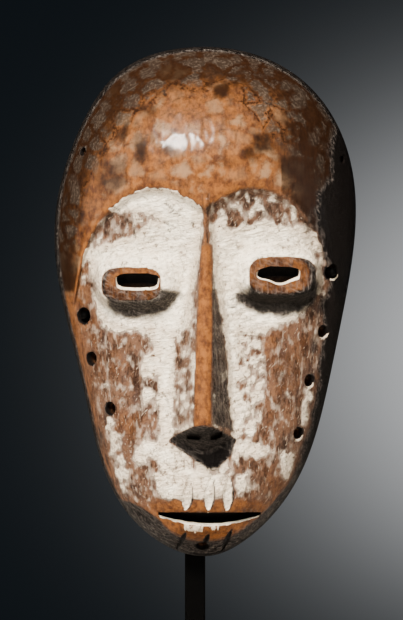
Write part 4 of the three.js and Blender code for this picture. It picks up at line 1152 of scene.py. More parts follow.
def paint_layers(thing):
    """Write where each finish lies, as one number per point"""
    x, depth, z = own_points(thing)
    z_in = np.clip(z, 0.01, HEIGHT - 0.01)
    reach = half_width(x, z_in)
    x_in = np.clip(x, -reach, reach)
    sunk = front_depth(x_in, z_in) - depth
    outer = 1 - smoothstep(sunk, 1.0, 2.6)
    edge = np.abs(x_in) / reach
    clay = mix(NO_CLAY, clay_cover(x_in, z_in), outer)
    ochre = ochre_stain(x_in, z_in) * outer
    soot = soot_and_painted_shade(x_in, z_in)
    face = face_share(x_in, z_in) * (1 - stained_share(x_in, z_in))
    # The crown reaches further in on the right, as painted shade on the side away from the light
    shaded_rim = rim_share(x_in, z_in) + 0.14 * smoothstep(x_in, 10, 50)
    crown = smoothstep(z_in - brow_height(x_in), 12, 40) * smoothstep(shaded_rim, 0.72, 0.9)
    wx, wz = swayed(x_in, z_in, 3.5, 0.9, 48)
    forehead = smoothstep(z_in - brow_height(x_in), 1, 7)
    dab = dabbed(wx, wz, DABS, 0.4, 1.2) * forehead * outer
    dark = forehead_dark(x_in, z_in) * outer
    hollow = smoothstep(sunk, 4.5, 6.5) * (1 - smoothstep(edge, 0.97, 0.985))
    # Whitened lower edges of the slots, and their walls painted black as shade
    for eye in EYES.values():
        dx, dz = x - eye["slot_x"], z - eye["slot_z"]
        near = squared_distance(dx, dz + 0.6, 13.6, 7.2, 3) < 1
        deeper = (squared_distance(dx, dz + 6, 14, 14, 3) < 1) & (sunk > 3)
        wall = ((near & (sunk > 0.5)) | deeper) & (sunk < 15.5)
        ledge = near & (sunk > 0.2) & (sunk < 2.6) & (dz < 1.5 - 0.035 * dx * eye["inward"])
        soot, hollow = np.where(wall, 1.0, soot), np.where(wall, 0, hollow)
        clay = np.where(ledge, 4.0, np.where(wall, NO_CLAY, clay))
        ochre, soot = np.where(ledge, 0, ochre), np.where(ledge, 0, soot)
    # The mouth's walls painted black as shade, its whitened lower ledge and the white edge of the lip
    lip = mouth_bottom(x)
    wall = (x > MOUTH_LEFT - 1.5) & (x < MOUTH_RIGHT + 1.5) & (z > 8) & (z < 28)
    wall = wall & (sunk > 0.5) & (sunk < 17) & (depth > 16)
    ledge = wall & (z < lip + 0.8) & (z > lip - 4.2) & (sunk < 6.5)
    soot, hollow = np.where(wall, 1.0, soot), np.where(wall, 0, hollow)
    clay = np.where(ledge, 4.0, np.where(wall, NO_CLAY, clay))
    ochre, soot = np.where(ledge, 0, ochre), np.where(ledge, 0, soot)
    lip_edge = (x > MOUTH_LEFT + 0.8) & (x < MOUTH_RIGHT - 0.8) & (z < lip + 0.8) & (sunk < 0.8)
    lip_edge = lip_edge & (z > lip - 2.0 + 1.2 * noise(in_space(x / 5, z / 5), 53))
    clay = np.where(lip_edge, 3.0, clay)
    ochre, soot = np.where(lip_edge, 0, ochre), np.where(lip_edge, 0, soot)
    # Painted shade inside the drilled holes, white clay on the lower rims of the right holes as a painted
    # highlight where light falls, and grime with painted shade round each mouth
    for at_x, at_z, radius in HOLES:
        mouth, inward = hole_line(at_x, at_z)
        offset = np.stack([x, depth, z], axis=1) - mouth
        along = offset @ inward
        aside = offset - along[:, None] * inward
        distance = np.linalg.norm(aside, axis=1)
        inside = (distance < radius + 1.4) & (along > 0.15) & (along < 24)
        rim = inside & (aside[:, 2] < -0.35 * radius) & (along < 1.7) & (radius > 2) & (at_x > 0)
        soot = np.where(rim, 0.1, np.where(inside, 0.97, soot))
        clay = np.where(rim, 3.0, np.where(inside, NO_CLAY, clay))
        grime_and_shade = smoothstep(radius + 3.2 - distance, 0, 2.4) * (np.abs(along) < 8) * ~inside
        soot = np.maximum(soot, 0.4 * grime_and_shade)
    # Painted shade inside the chin hole
    mouth, inward = hole_line(CHIN_HOLE[0], CHIN_HOLE[1], chin=True)
    offset = np.stack([x, depth, z], axis=1) - mouth
    along = offset @ inward
    distance = np.linalg.norm(offset - along[:, None] * inward, axis=1)
    soot = np.where((distance < CHIN_HOLE[2] + 1.3) & (along > 0.15) & (along < 20), 1, soot)
    for stroke in UPPER_STROKES:
        inside = smoothstep(stroke_cut(stroke, x, z, *UPPER_LEAF), 0.0, 0.2) * outer
        clay, ochre, soot = mix(clay, 5.0, inside), mix(ochre, 0, inside), mix(soot, 0, inside)
    # Painted shade inside the nostrils
    for at_x, at_z, half_x, half_z, _ in NOSTRILS:
        hole = squared_distance(x - at_x, z - at_z, half_x, half_z, 2) < 1.1
        soot = np.where(hole & (sunk < 2), 1.0, soot)
    crown, forehead = crown * outer, forehead * outer
    layers = (clay, face, ochre, soot, dab, dark, crown, forehead, hollow)
    for name, values in zip(LAYERS, layers, strict=True):
        store(thing, name, values)


# ------------------------------------------------------------------ materials

MATHS, MIX, RANGE = "ShaderNodeMath", "ShaderNodeMix", "ShaderNodeMapRange"
NOISE, MAPPING = "ShaderNodeTexNoise", "ShaderNodeMapping"
ADD, SUBTRACT, MULTIPLY, LARGER = (
    {"operation": name} for name in ("ADD", "SUBTRACT", "MULTIPLY", "MAXIMUM")
)
SMOOTH, COLOUR, NUMBER = {"interpolation_type": "SMOOTHSTEP"}, {"data_type": "RGBA"}, {"data_type": "FLOAT"}
UPRIGHT_STREAKS, EVEN = (1, 1, 6), (1, 1, 1)
# Patterns of the mask's surface: size of the forms in millimetres, detail, roughness, how much longer
# they are along each axis, lean in radians and place in the noise. Scratches, brush marks and pits are
# finer on the real one; they are drawn 1.2 mm coarse or more so that they show.
MASK_PATTERNS = {
    "grain": (1.7, 4, 0.6, (1, 1, 9), 0, 0),
    "broad": (15, 3, 0.55, (1, 1, 1.5), 0, 3.1),
    "blotch": (6, 5, 0.65, EVEN, 0, 7.7),
    "fine": (1.2, 3, 0.6, EVEN, 0, 1.3),
    "patch": (2.4, 5, 0.72, (1, 1, 1.5), 0, 5.2),
    "facet_edge": (3.4, 5, 0.7, EVEN, 0, 70),
    "knife_right": (1.2, 2, 0.5, UPRIGHT_STREAKS, 0.35, 0),
    "knife_left": (1.2, 2, 0.5, UPRIGHT_STREAKS, -1.1, 4),
    "shadow_edge": (5, 5, 0.62, EVEN, 0, 31),
    "dab_edge": (1.5, 6, 0.78, EVEN, 0, 34),
    "smudge": (6.5, 5, 0.66, (1, 1, 1.9), 0, 40),
    "greying": (11, 5, 0.66, (1, 1, 1.4), 0, 43),
    "pale_grain": (1.4, 4, 0.62, UPRIGHT_STREAKS, 0, 46),
    "pits": (1.9, 4, 0.65, (1, 1, 3.2), 0, 49),
    "scratch_upright": (1.2, 3, 0.6, (1, 1, 9), 0.1, 2),
    "scratch_slanted": (1.2, 3, 0.6, UPRIGHT_STREAKS, -0.7, 6),
    "film_edge": (4, 6, 0.74, (1, 1, 3.6), 0, 9),
    "fleck_edge": (1.7, 5, 0.72, (1, 1, 3.4), 0, 52),
    "clay_edge": (1.6, 5, 0.72, EVEN, 0, 12),
    "clay_dust": (8, 6, 0.74, (1.5, 1, 1), 0, 15),
    "brush": (1.5, 4, 0.65, (6, 1, 1), 0.25, 55),
    "cracks": (2.8, 6, 0.78, (1, 1, 1.5), 0, 61),
    "specks": (1.3, 2, 0.5, EVEN, 0, 21),
    "smoke_edge": (2.4, 5, 0.7, (1, 1, 2.6), 0, 18),
    "smoke_upright": (1.6, 4, 0.65, UPRIGHT_STREAKS, 0, 24),
    "smoke_slanted": (1.5, 4, 0.65, UPRIGHT_STREAKS, 1.15, 58),
    "dents": (2.2, 5, 0.72, EVEN, 0, 27),
    "brush_ridges": (2.6, 4, 0.6, (4, 1, 1), 0.2, 64),
}
# Other patterns, in millimetres: the forehead's facets and the bends of their edges, the enamel's
# pebbles and the dust on it, and the base's grain
FACET_SIZE, FACET_WOBBLE = 12, 6
PEBBLE_SIZE, DUST_SIZE = 0.9, 14
GRAIN_LENGTH, GRAIN_WIDTH = 20, 1.5


def add_node(tree, kind, settings, inputs):
    """Add a node, its settings, and its inputs in order or by name: values, sockets or nodes"""
    made = tree.nodes.new(kind)
    for name, value in settings.items():
        setattr(made, name, value)
    if isinstance(inputs, dict):
        filled = [(made.inputs[name], value) for name, value in inputs.items()]
    else:
        filled = zip([socket for socket in made.inputs if socket.enabled], inputs)
    for socket, value in filled:
        if isinstance(value, bpy.types.Node):
            value = next(output for output in value.outputs if output.enabled)
        if isinstance(value, bpy.types.NodeSocket):
            tree.links.new(value, socket)
        else:
            socket.default_value = value
    return made


def new_material(name):
    material = bpy.data.materials.new(name)
    material.use_nodes = True
    material.node_tree.nodes.clear()
    return material, material.node_tree


def rgba(colour):
    return (*tuple(colour)[:3], 1.0)


def limed_carved_wood(colours):
    """Old carved hardwood, stained orange-brown, dabbed, limed with white clay and smoked"""
    material, tree = new_material("carved_hardwood_stained_and_limed")
    node = functools.partial(add_node, tree)
    seam_and_shade_black = rgba(colours.seam)
    clay, face, ochre, soot, dab, dark, crown, forehead, hollow = (
        node("ShaderNodeAttribute", {"attribute_name": name}, {}).outputs["Fac"] for name in LAYERS
    )
    place = node("ShaderNodeTexCoord", {}, {}).outputs["Object"]
    pattern = {}
    for name, (size, detail, roughness, stretch, lean, offset) in MASK_PATTERNS.items():
        turned = node(MAPPING, {}, {"Vector": place, "Rotation": (0, lean, 0)})
        scale = tuple(1000 / (size * longer) for longer in stretch)
        moved = node(MAPPING, {}, {"Vector": turned, "Location": (offset,) * 3, "Scale": scale})
        grained = {"Vector": moved, "Scale": 1.0, "Detail": detail, "Roughness": roughness}
        pattern[name] = node(NOISE, {}, grained)

    def shaken(amount, name, reach):
        """An amount with a pattern added on both sides of it"""
        swing = node(MATHS, MULTIPLY, [node(MATHS, SUBTRACT, [pattern[name], 0.5]), 2 * reach])
        return node(MATHS, ADD, [amount, swing])

    # Outer wood: upright grain 1 to 2 mm wide under an uneven orange stain
    grain_tone = node(RANGE, SMOOTH, [pattern["grain"], 0.34, 0.64])
    wood = node(MIX, COLOUR, [grain_tone, rgba(colours.wood_dark), rgba(colours.wood_light)])
    blotched = node(MATHS, MULTIPLY, [pattern["blotch"], 0.6])
    patched = node(MATHS, MULTIPLY, [pattern["patch"], 0.4])
    cloudy = node(RANGE, SMOOTH, [node(MATHS, ADD, [blotched, patched]), 0.38, 0.6])
    stain = node(MIX, COLOUR, [cloudy, rgba(colours.stain_deep), rgba(colours.stain_bright)])
    soaked = node(RANGE, SMOOTH, [pattern["broad"], 0.3, 0.55, 0.7, 1.0])
    body = node(MIX, COLOUR, [node(MATHS, MULTIPLY, [ochre, soaked]), wood, stain])

    # Forehead: scraped facets, each its own shade, with dark seams between them
    wobble = {"Vector": place, "Scale": 1000 / FACET_WOBBLE, "Detail": 5.0, "Roughness": 0.7}
    stirred = node(NOISE, {}, wobble)
    bends = [stirred.outputs["Color"], (0.0085,) * 3, (0, 0, 0)]
    nudged = node("ShaderNodeVectorMath", {"operation": "MULTIPLY_ADD"}, bends)
    bent = node("ShaderNodeVectorMath", ADD, [place, nudged])
    facets = {"Vector": bent, "Scale": 1000 / FACET_SIZE, "Randomness": 0.9}
    cells = node("ShaderNodeTexVoronoi", {"feature": "F1"}, facets)
    borders = node("ShaderNodeTexVoronoi", {"feature": "DISTANCE_TO_EDGE"}, facets)
    chance = node("ShaderNodeSeparateColor", {}, {"Color": cells.outputs["Color"]})
    within = shaken(borders, "facet_edge", 0.2)
    pale = node(RANGE, SMOOTH, [chance.outputs["Red"], 0.15, 0.8])
    facet = node(MATHS, MULTIPLY, [pale, node(RANGE, SMOOTH, [within, 0.0, 0.3])])
    facet = node(MATHS, MULTIPLY, [facet, 0.8])
    body = node(MIX, COLOUR, [node(MATHS, MULTIPLY, [facet, forehead]), body, rgba(colours.facet)])
    seamed = node(MATHS, MULTIPLY, [forehead, node(RANGE, SMOOTH, [crown, 0.0, 1.0, 0.3, 0.95])])
    seam = node(MATHS, MULTIPLY, [node(RANGE, SMOOTH, [within, 0.14, -0.04]), seamed])
    # Seams, and the darkened rim and right side with their painted shade, drawn towards black
    shadow = shaken(node(MATHS, LARGER, [dark, seam]), "shadow_edge", 0.4)
    shadow = node(MATHS, MULTIPLY, [node(RANGE, SMOOTH, [shadow, 0.12, 0.85]), 0.9])
    body = node(MIX, COLOUR, [shadow, body, seam_and_shade_black])
    # Dabs, tan on bright stain and greyed towards the crown, with pale knife scratches across them
    greyed = node(RANGE, SMOOTH, [node(MATHS, LARGER, [dark, crown]), 0.1, 0.7])
    dab_colour = node(MIX, COLOUR, [greyed, rgba(colours.dab_tan), rgba(colours.dab)])
    hatch = node(MATHS, LARGER, [pattern["knife_right"], pattern["knife_left"]])
    hatch = node(RANGE, SMOOTH, [hatch, 0.5, 0.72])
    scratched = node(MATHS, MULTIPLY, [hatch, node(MIX, NUMBER, [greyed, 0.3, 0.75])])
    dab_colour = node(MIX, COLOUR, [scratched, dab_colour, rgba(colours.dab_scratch)])
    chosen = node(RANGE, SMOOTH, [chance.outputs["Green"], 0.1, 0.3])
    small_dab = node(MATHS, MULTIPLY, [chosen, node(RANGE, SMOOTH, [within, 0.0, 0.2])])
    small_dab = node(MATHS, MULTIPLY, [small_dab, node(MATHS, MULTIPLY, [crown, 0.9])])
    either = node(MATHS, LARGER, [dab, small_dab])
    ragged = node(RANGE, SMOOTH, [shaken(either, "dab_edge", 0.75), 0.1, 1.0])
    dab_share = node(MATHS, MULTIPLY, [ragged, node(RANGE, SMOOTH, [either, 0.02, 0.9, 0.0, 0.85])])
    body = node(MIX, COLOUR, [dab_share, body, dab_colour])
    # The darkened forehead, painted shade included, drawn further towards black
    body = node(MIX, COLOUR, [node(MATHS, MULTIPLY, [dark, 0.5]), body, seam_and_shade_black])

    # Worn face: smudged and greyed wood with pits, and its own share of the stain
    smudged = node(RANGE, SMOOTH, [pattern["smudge"], 0.38, 0.56])
    bare = node(MIX, COLOUR, [smudged, rgba(colours.bare_dark), rgba(colours.bare_mid)])
    grey_share = node(RANGE, SMOOTH, [pattern["greying"], 0.48, 0.64, 0.0, 0.7])
    bare = node(MIX, COLOUR, [grey_share, bare, rgba(colours.bare_grey)])
    light_share = node(RANGE, SMOOTH, [pattern["pale_grain"], 0.5, 0.72, 0.0, 0.5])
    bare = node(MIX, COLOUR, [light_share, bare, rgba(colours.bare_light)])
    bare = node(MIX, COLOUR, [node(MATHS, MULTIPLY, [ochre, 0.85]), bare, stain])
    pits = node(RANGE, SMOOTH, [pattern["pits"], 0.56, 0.68])
    bare = node(MIX, COLOUR, [node(MATHS, MULTIPLY, [pits, 0.55]), bare, seam_and_shade_black])
    # Clay film, flecks and scratches over the worn face, thickest beside whole clay
    scratches = node(MATHS, LARGER, [pattern["scratch_upright"], pattern["scratch_slanted"]])
    scratches = node(RANGE, SMOOTH, [scratches, 0.62, 0.7])
    film = node(RANGE, SMOOTH, [shaken(clay, "film_edge", 3.4), -2.5, 0.0, 0.0, 0.58])
    flecks = node(RANGE, SMOOTH, [shaken(clay, "fleck_edge", 3.7), -0.7, 0.3])
    faint = node(MATHS, MULTIPLY, [scratches, 0.7])
    rubbed = node(MATHS, LARGER, [faint, node(MATHS, LARGER, [flecks, film])])
    spared = node(MATHS, SUBTRACT, [0.92, node(MATHS, MULTIPLY, [ochre, 0.75])])
    rubbed = node(MATHS, MULTIPLY, [rubbed, spared])
    bare = node(MIX, COLOUR, [rubbed, bare, rgba(colours.clay_worn)])
    body = node(MIX, COLOUR, [face, body, bare])

    # Clay, crisp where its cover runs out, dusty where it is thin, dirt in its brush marks
    covered = node(RANGE, SMOOTH, [shaken(clay, "clay_edge", 1.5), -0.15, 0.2])
    whole = node(RANGE, SMOOTH, [shaken(clay, "clay_dust", 13.0), 0.0, 9.5])
    clay_tone = node(MIX, COLOUR, [whole, rgba(colours.clay_shade), rgba(colours.clay)])
    brushed = node(RANGE, SMOOTH, [pattern["brush"], 0.5, 0.72, 0.0, 0.6])
    cracks = node(RANGE, SMOOTH, [pattern["cracks"], 0.55, 0.65, 0.0, 0.9])
    specks = node(RANGE, SMOOTH, [pattern["specks"], 0.66, 0.72, 0.0, 0.9])
    dirt = node(MATHS, LARGER, [brushed, node(MATHS, LARGER, [cracks, specks])])
    soiled = node(MATHS, MULTIPLY, [dirt, node(RANGE, SMOOTH, [whole, 0.0, 1.0, 1.0, 0.6])])
    clay_tone = node(MIX, COLOUR, [soiled, clay_tone, rgba(colours.clay_dirt)])
    body = node(MIX, COLOUR, [covered, body, clay_tone])

    # Smoke, dirt and painted shade, streaked along the grain and hatched across the jaw
    hidden = node(MATHS, MULTIPLY, [covered, node(RANGE, SMOOTH, [soot, 0.5, 0.95, 0.12, 0.01])])
    thin = node(MATHS, SUBTRACT, [1.0, hidden])
    smoke_and_shade = node(RANGE, SMOOTH, [shaken(soot, "smoke_edge", 0.3), 0.08, 0.85])
    smoke_and_shade = node(MATHS, MULTIPLY, [smoke_and_shade, thin])
    streaks = node(MATHS, LARGER, [pattern["smoke_upright"], pattern["smoke_slanted"]])
    streaks = node(RANGE, SMOOTH, [streaks, 0.46, 0.72])
    thinned = node(MATHS, MULTIPLY, [streaks, node(RANGE, SMOOTH, [soot, 0.86, 0.98, 0.95, 0.0])])
    soot_and_shade_tone = node(MIX, COLOUR, [thinned, rgba(colours.soot), rgba(colours.soot_streak)])
    body = node(MIX, COLOUR, [smoke_and_shade, body, soot_and_shade_tone])
    # Bare tool-marked wood inside the hollow
    shades = node(MATHS, ADD, [pattern["grain"], node(MATHS, MULTIPLY, [pattern["broad"], 0.6])])
    shades = node(RANGE, SMOOTH, [shades, 0.6, 1.05])
    inside = node(MIX, COLOUR, [shades, rgba(colours.hollow_dark), rgba(colours.hollow_light)])
    body = node(MIX, COLOUR, [hollow, body, inside])

    # Handled stain shines; clay is chalky, and soot and painted shade dull
    roughness = node(MIX, NUMBER, [forehead, 0.42, 0.38])
    for share, amount in ((dab_share, 0.44), (face, 0.5), (covered, 0.85), (smoke_and_shade, 0.66), (hollow, 0.75)):
        roughness = node(MIX, NUMBER, [share, roughness, amount])
    speckle = node(MATHS, MULTIPLY, [node(MATHS, SUBTRACT, [pattern["fine"], 0.5]), 0.14])
    roughness = node(MATHS, ADD, [roughness, speckle])

    # Fine relief: grain, clay, knife marks, dents and the ridges that the brush left
    ridges = node(MATHS, MULTIPLY, [pattern["brush_ridges"], covered])
    height = node(MATHS, MULTIPLY, [pattern["grain"], 0.25])
    for part, amount in (
        (covered, 0.7),
        (node(MATHS, LARGER, [hatch, scratches]), 0.15),
        (pattern["dents"], 1.3),
        (ridges, 3.4),
    ):
        height = node(MATHS, ADD, [height, node(MATHS, MULTIPLY, [part, amount])])
    sunk = node(MATHS, MULTIPLY, [node(MATHS, LARGER, [dirt, pits]), 0.5])
    height = node(MATHS, SUBTRACT, [height, sunk])
    strength = node(MIX, NUMBER, [forehead, 0.6, 0.08])
    strength = node(MIX, NUMBER, [node(MATHS, LARGER, [face, smoke_and_shade]), strength, 1.0])
    bump = node("ShaderNodeBump", {}, {"Distance": 0.0009, "Height": height, "Strength": strength})

    polished = node(MATHS, SUBTRACT, [forehead, node(MATHS, MULTIPLY, [crown, 0.7])])
    surface = {
        "Base Color": body,
        "Roughness": roughness,
        "Normal": bump,
        "IOR": 1.5,
        "Specular IOR Level": 0.11,
        "Coat Weight": node(MATHS, MULTIPLY, [polished, 0.85]),
        "Coat Roughness": 0.19,
    }
    shader = node("ShaderNodeBsdfPrincipled", {}, surface)
    node("ShaderNodeOutputMaterial", {}, {"Surface": shader})
    return material


def black_enamel(colour):
    """Steel bar sprayed with satin black enamel: slightly pebbled, its gloss dulled by dust"""
    material, tree = new_material("mild_steel_black_enamel")
    node = functools.partial(add_node, tree)
    place = node("ShaderNodeTexCoord", {}, {}).outputs["Object"]
    pebble = node(NOISE, {}, {"Vector": place, "Scale": 1000 / PEBBLE_SIZE, "Detail": 2.0})
    dust = node(NOISE, {}, {"Vector": place, "Scale": 1000 / DUST_SIZE, "Detail": 4.0})
    surface = {
        "Base Color": rgba(colour),
        "Roughness": node(RANGE, {}, {"Value": dust, "To Min": 0.5, "To Max": 0.66}),
        "Normal": node("ShaderNodeBump", {}, {"Strength": 0.25, "Distance": 0.0002, "Height": pebble}),
        "IOR": 1.5,
        "Specular IOR Level": 0.04,
    }
    shader = node("ShaderNodeBsdfPrincipled", {}, surface)
    node("ShaderNodeOutputMaterial", {}, {"Surface": shader})
    return material


def black_lacquered_wood(colour):
    """Hardwood block under satin black lacquer: the grain just shows in the gloss"""
    material, tree = new_material("hardwood_black_lacquer")
    node = functools.partial(add_node, tree)
    place = node("ShaderNodeTexCoord", {}, {}).outputs["Object"]
    scale = (1000 / GRAIN_LENGTH, 1000 / GRAIN_WIDTH, 1000 / GRAIN_WIDTH)
    along = node(MAPPING, {}, {"Vector": place, "Scale": scale})
    grain = node(NOISE, {}, {"Vector": along, "Scale": 1.0, "Detail": 4.0})
    surface = {
        "Base Color": rgba(colour),
        "Roughness": node(RANGE, {}, {"Value": grain, "To Min": 0.28, "To Max": 0.46}),
        "Normal": node("ShaderNodeBump", {}, {"Strength": 0.2, "Distance": 0.0002, "Height": grain}),
        "IOR": 1.5,
        "Specular IOR Level": 0.25,
    }
    shader = node("ShaderNodeBsdfPrincipled", {}, surface)
    node("ShaderNodeOutputMaterial", {}, {"Surface": shader})
    return material


# ------------------------------------------------------------------ settings a user would change


def colour_property(name, description, hex_colour):
    return FloatVectorProperty(
        name=name, description=description, subtype="COLOR", size=3, min=0, max=1, default=linear(hex_colour)
    )


class MaskShapeSettings(bpy.types.PropertyGroup):
    front_columns: IntProperty(
        name="Front columns", description="Mesh cells across the face", default=216, min=60
    )
    front_rows: IntProperty(name="Front rows", description="Mesh cells up the face", default=322, min=90)
    back_columns: IntProperty(
        name="Hollow columns", description="Mesh cells across the hollow", default=72, min=20
    )
    back_rows: IntProperty(
        name="Hollow rows", description="Mesh cells up the hollow", default=108, min=30
    )


class MaskFinishSettings(bpy.types.PropertyGroup):
    wood_dark: colour_property("Wood, dark grain", "Outer wood in its darker grain", "#2a1a11")
    wood_light: colour_property("Wood, light grain", "Outer wood in its lighter grain", "#6e4a32")
    stain_bright: colour_property("Stain, bright", "Orange stain where it is thickest", "#7c4d24")
    stain_deep: colour_property("Stain, deep", "Orange stain where it has darkened", "#472918")
    facet: colour_property("Facet", "Paler scraped facets on the forehead", "#856a50")
    bare_dark: colour_property("Worn face, dark", "Darker wood where the clay has worn off", "#2f1f17")
    bare_mid: colour_property("Worn face, middle", "Wood where the clay has worn off", "#604636")
    bare_light: colour_property("Worn face, light", "Pale grain where the clay has worn off", "#775d49")
    bare_grey: colour_property("Worn face, grey", "Greyed wood where the clay has worn off", "#4b3b35")
    dab: colour_property("Dab", "Greyed dabs on the forehead", "#2a241f")
    dab_tan: colour_property("Dab, tan", "Dabs where they lie on bright stain", "#8c6f54")
    dab_scratch: colour_property("Dab scratch", "Pale knife scratches on the dabs", "#5b5249")
    seam: colour_property("Seam", "Dark lines and blots between the dabs", "#150b06")
    clay: colour_property("Clay", "White clay where it is whole", "#fff7e4")
    clay_shade: colour_property("Clay, thin", "White clay where it is thin or dusty", "#d6c8b3")
    clay_worn: colour_property("Clay, rubbed", "Clay left in the grain of worn wood", "#b9aa9a")
    clay_dirt: colour_property("Clay, soiled", "Dirt in the brush marks of the clay", "#6a5744")
    # The soot colour also gives the painted shade
    soot: colour_property("Soot", "Smoke-blackened wood", "#0b0807")
    soot_streak: colour_property("Soot streak", "Streaks where the soot is thin", "#5c5652")
    hollow_dark: colour_property("Hollow, dark", "Wood inside the hollow, darker cuts", "#3a2518")
    hollow_light: colour_property("Hollow, light", "Wood inside the hollow, lighter ridges", "#6f4c33")


class StandSettings(bpy.types.PropertyGroup):
    enamel: colour_property("Enamel", "Black enamel on the steel", "#020202")
    lacquer: colour_property("Lacquer", "Black lacquer on the base", "#0a0909")


class StageSettings(bpy.types.PropertyGroup):
    floor: colour_property("Floor", "Pale paper under the stand", "#d6d3ce")
    room: colour_property("Room", "Studio in front of the stand", "#454647")
    dark: colour_property("Backdrop", "Studio behind the stand", "#12171b")
    glow: colour_property("Backdrop light", "Pool of light behind the stand", "#e2e4e6")
    camera_distance: FloatProperty(
        name="Camera distance", description="From the lens to the mask", default=5.0, unit="LENGTH"
    )


# ------------------------------------------------------------------ operators


def shade(thing, degrees):
    """Smooth shading that keeps edges sharper than an angle"""
    thing.data.polygons.foreach_set("use_smooth", np.ones(len(thing.data.polygons), bool))
    thing.data.set_sharp_from_angle(angle=math.radians(degrees))


class MASK_OT_carve(bpy.types.Operator):
    """Carve the mask, cut its openings and lay on its finishes"""

    bl_idname = "mask.carve"
    bl_label = "Carve the Mask"

    def execute(self, context):
        shape = context.scene.mask_shape
        mask = mesh_object("mask_carving", *carved_mesh(shape))
        cutters = [eye_slot_cutter(eye, side) for side, eye in EYES.items()] + [mouth_cutter()]
        cutters += [hole_cutter(*hole, seed) for seed, hole in enumerate(HOLES, 80)]
        cutters.append(hole_cutter(*CHIN_HOLE, 99, chin=True))
        cut_away(mask, mesh_object("openings", *joined(cutters)))
        keep_in_solid_box(mask, MASK_LOW, MASK_HIGH)
        paint_layers(mask)
        shade(mask, 62)
        mask.data.materials.clear()
        mask.data.materials.append(limed_carved_wood(context.scene.mask_finish))
        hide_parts("mask")
        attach(mask, "root")
        return {"FINISHED"}


class MASK_OT_stand(bpy.types.Operator):
    """Finish the steel post with its arms, and the base"""

    bl_idname = "mask.stand"
    bl_label = "Finish the Stand"

    def execute(self, context):
        settings = context.scene.mask_stand
        for name, material in (
            ("stand_post", black_enamel(settings.enamel)),
            ("stand_base", black_lacquered_wood(settings.lacquer)),
        ):
            thing = bpy.data.objects[name]
            if not thing.material_slots:
                thing.data.materials.append(material)
            thing.material_slots[0].link = "OBJECT"
            thing.material_slots[0].material = material
        return {"FINISHED"}


# Lamps: name, degrees round from the front and up, distance, width and height in metres, watts, tint
# and whether gloss mirrors it. The key is diffused so far that only the small sheen lamp mirrors in
# the polished forehead.
LAMPS = [
    ("key", -13, 45, 1.7, 0.34, 0.42, 106, "#fff2e2", False),
    ("sheen", -15, 30, 1.7, 0.42, 0.3, 42, "#fff6ea", True),
    ("front_fill", 8, 6, 2.2, 1.6, 1.6, 6, "#fff5e8", False),
    ("left_fill", -65, 10, 2.0, 1.4, 1.4, 3.5, "#ffffff", True),
    ("right_fill", 60, 10, 2.0, 1.4, 1.4, 1.0, "#ffffff", True),
    ("back_fill", 180, -2, 2.2, 1.2, 1.2, 32, "#ffffff", False),
]
LOOK_AT = Vector((0.0038, 0.0, 0.229))  # where the camera and the lamps point
PICTURE_HEIGHT = 0.3654  # metres that the picture spans at the mask
SENSOR_HEIGHT = 24
FLOOR_RADIUS = 0.52
FLOOR_DROP = 0.0005
# Middle and reach of the pool of light, across and up from the view's middle, in metres at the mask
POOL_MIDDLE, POOL_REACH = (0.233, -0.0246), (0.113, 0.0854)


def lay_floor(colour):
    """Round sheet of matt paper just under the base"""
    bpy.ops.mesh.primitive_circle_add(
        vertices=128, radius=FLOOR_RADIUS, fill_type="NGON", location=(0, 0, -FLOOR_DROP)
    )
    floor = bpy.context.object
    floor.name = "floor"
    material, tree = new_material("matt_paper")
    paper = {"Base Color": rgba(colour), "Roughness": 0.9}
    shader = add_node(tree, "ShaderNodeBsdfPrincipled", {}, paper)
    add_node(tree, "ShaderNodeOutputMaterial", {}, {"Surface": shader})
    floor.data.materials.append(material)


def paint_studio(world, settings):
    """Dark studio behind the stand with a soft pool of light low on the right, grey room before it"""
    world.use_nodes = True
    world.node_tree.nodes.clear()
    node = functools.partial(add_node, world.node_tree)
    far = settings.camera_distance
    way = node("ShaderNodeTexCoord", {}, {}).outputs["Generated"]
    axes = node("ShaderNodeSeparateXYZ", {}, {"Vector": way})
    ahead = node(MATHS, LARGER, [axes.outputs["Y"], 0.02])
    flat = node("ShaderNodeVectorMath", {"operation": "DIVIDE"}, [way, ahead])
    placing = {
        "Vector": flat,
        "Location": (POOL_MIDDLE[0] / far, 1, POOL_MIDDLE[1] / far),
        "Scale": (POOL_REACH[0] / far, 1, POOL_REACH[1] / far),
    }
    pool = node(MAPPING, {"vector_type": "TEXTURE"}, placing)
    spread = node("ShaderNodeVectorMath", {"operation": "DOT_PRODUCT"}, [pool, pool])
    glow = node(MATHS, {"operation": "EXPONENT"}, [node(MATHS, MULTIPLY, [spread, -0.5])])
    behind = node(MIX, COLOUR, [glow, rgba(settings.dark), rgba(settings.glow)])
    facing = node(RANGE, {}, [axes.outputs["Y"], -0.3, 0.2])
    around = node(MIX, COLOUR, [facing, rgba(settings.room), behind])
    shader = node("ShaderNodeBackground", {}, {"Color": around})
    node("ShaderNodeOutputWorld", {}, {"Surface": shader})


def hang_lamp(name, azimuth, elevation, distance, wide, tall, power, tint, mirrors):
    """Soft box that the camera doesn't see"""
    data = bpy.data.lights.new(name, "AREA")
    data.shape = "RECTANGLE"
    data.size = wide
    data.size_y = tall
    data.energy = power
    data.color = linear(tint)
    light = bpy.data.objects.new(name, data)
    light.visible_camera = False
    light.visible_glossy = mirrors
    a, e = math.radians(azimuth), math.radians(elevation)
    away = Vector((math.sin(a) * math.cos(e), -math.cos(a) * math.cos(e), math.sin(e)))
    light.location = LOOK_AT + away * distance
    light.rotation_euler = (-away).to_track_quat("-Z", "Y").to_euler()
    bpy.context.scene.collection.objects.link(light)


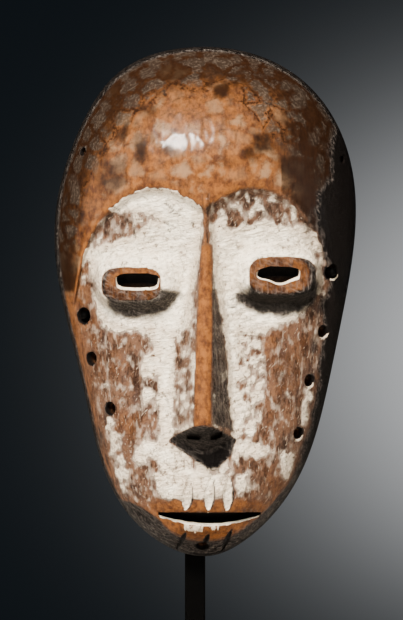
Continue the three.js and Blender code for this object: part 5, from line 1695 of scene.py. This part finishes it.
def stand_camera(distance):
    """Long lens straight in front of the mask"""
    camera = bpy.data.objects.new("camera", bpy.data.cameras.new("camera"))
    camera.data.sensor_fit = "VERTICAL"
    camera.data.sensor_height = SENSOR_HEIGHT
    camera.data.lens = SENSOR_HEIGHT * distance / PICTURE_HEIGHT
    camera.location = LOOK_AT - Vector((0, distance, 0))
    camera.rotation_euler = (math.pi / 2, 0, 0)
    bpy.context.scene.collection.objects.link(camera)
    bpy.context.scene.camera = camera


class MASK_OT_stage(bpy.types.Operator):
    """Set the floor, the studio light and the camera"""

    bl_idname = "mask.stage"
    bl_label = "Set the Stage"

    def execute(self, context):
        settings = context.scene.mask_stage
        lay_floor(settings.floor)
        context.scene.world = bpy.data.worlds.new("studio")
        paint_studio(context.scene.world, settings)
        for lamp in LAMPS:
            hang_lamp(*lamp)
        stand_camera(settings.camera_distance)
        return {"FINISHED"}


class MASK_PT_build(bpy.types.Panel):
    """Build steps and their settings"""

    bl_label = "Carved Mask"
    bl_idname = "MASK_PT_build"
    bl_space_type = "VIEW_3D"
    bl_region_type = "UI"
    bl_category = "Mask"

    def draw(self, context):
        for operator, group in (
            (MASK_OT_carve, "mask_shape"),
            (MASK_OT_carve, "mask_finish"),
            (MASK_OT_stand, "mask_stand"),
            (MASK_OT_stage, "mask_stage"),
        ):
            box = self.layout.box()
            for name in getattr(context.scene, group).bl_rna.properties.keys():
                if name not in ("rna_type", "name"):
                    box.prop(getattr(context.scene, group), name)
            box.operator(operator.bl_idname)


GROUPS = {
    "mask_shape": MaskShapeSettings,
    "mask_finish": MaskFinishSettings,
    "mask_stand": StandSettings,
    "mask_stage": StageSettings,
}
CLASSES = (*GROUPS.values(), MASK_OT_carve, MASK_OT_stand, MASK_OT_stage, MASK_PT_build)


def register():
    for item in CLASSES:
        bpy.utils.register_class(item)
    for name, group in GROUPS.items():
        setattr(bpy.types.Scene, name, PointerProperty(type=group))


def unregister():
    for name in GROUPS:
        delattr(bpy.types.Scene, name)
    for item in reversed(CLASSES):
        bpy.utils.unregister_class(item)


def main():
    register()
    bpy.ops.mask.carve()
    bpy.ops.mask.stand()
    bpy.ops.mask.stage()


if __name__ == "__main__":
    main()
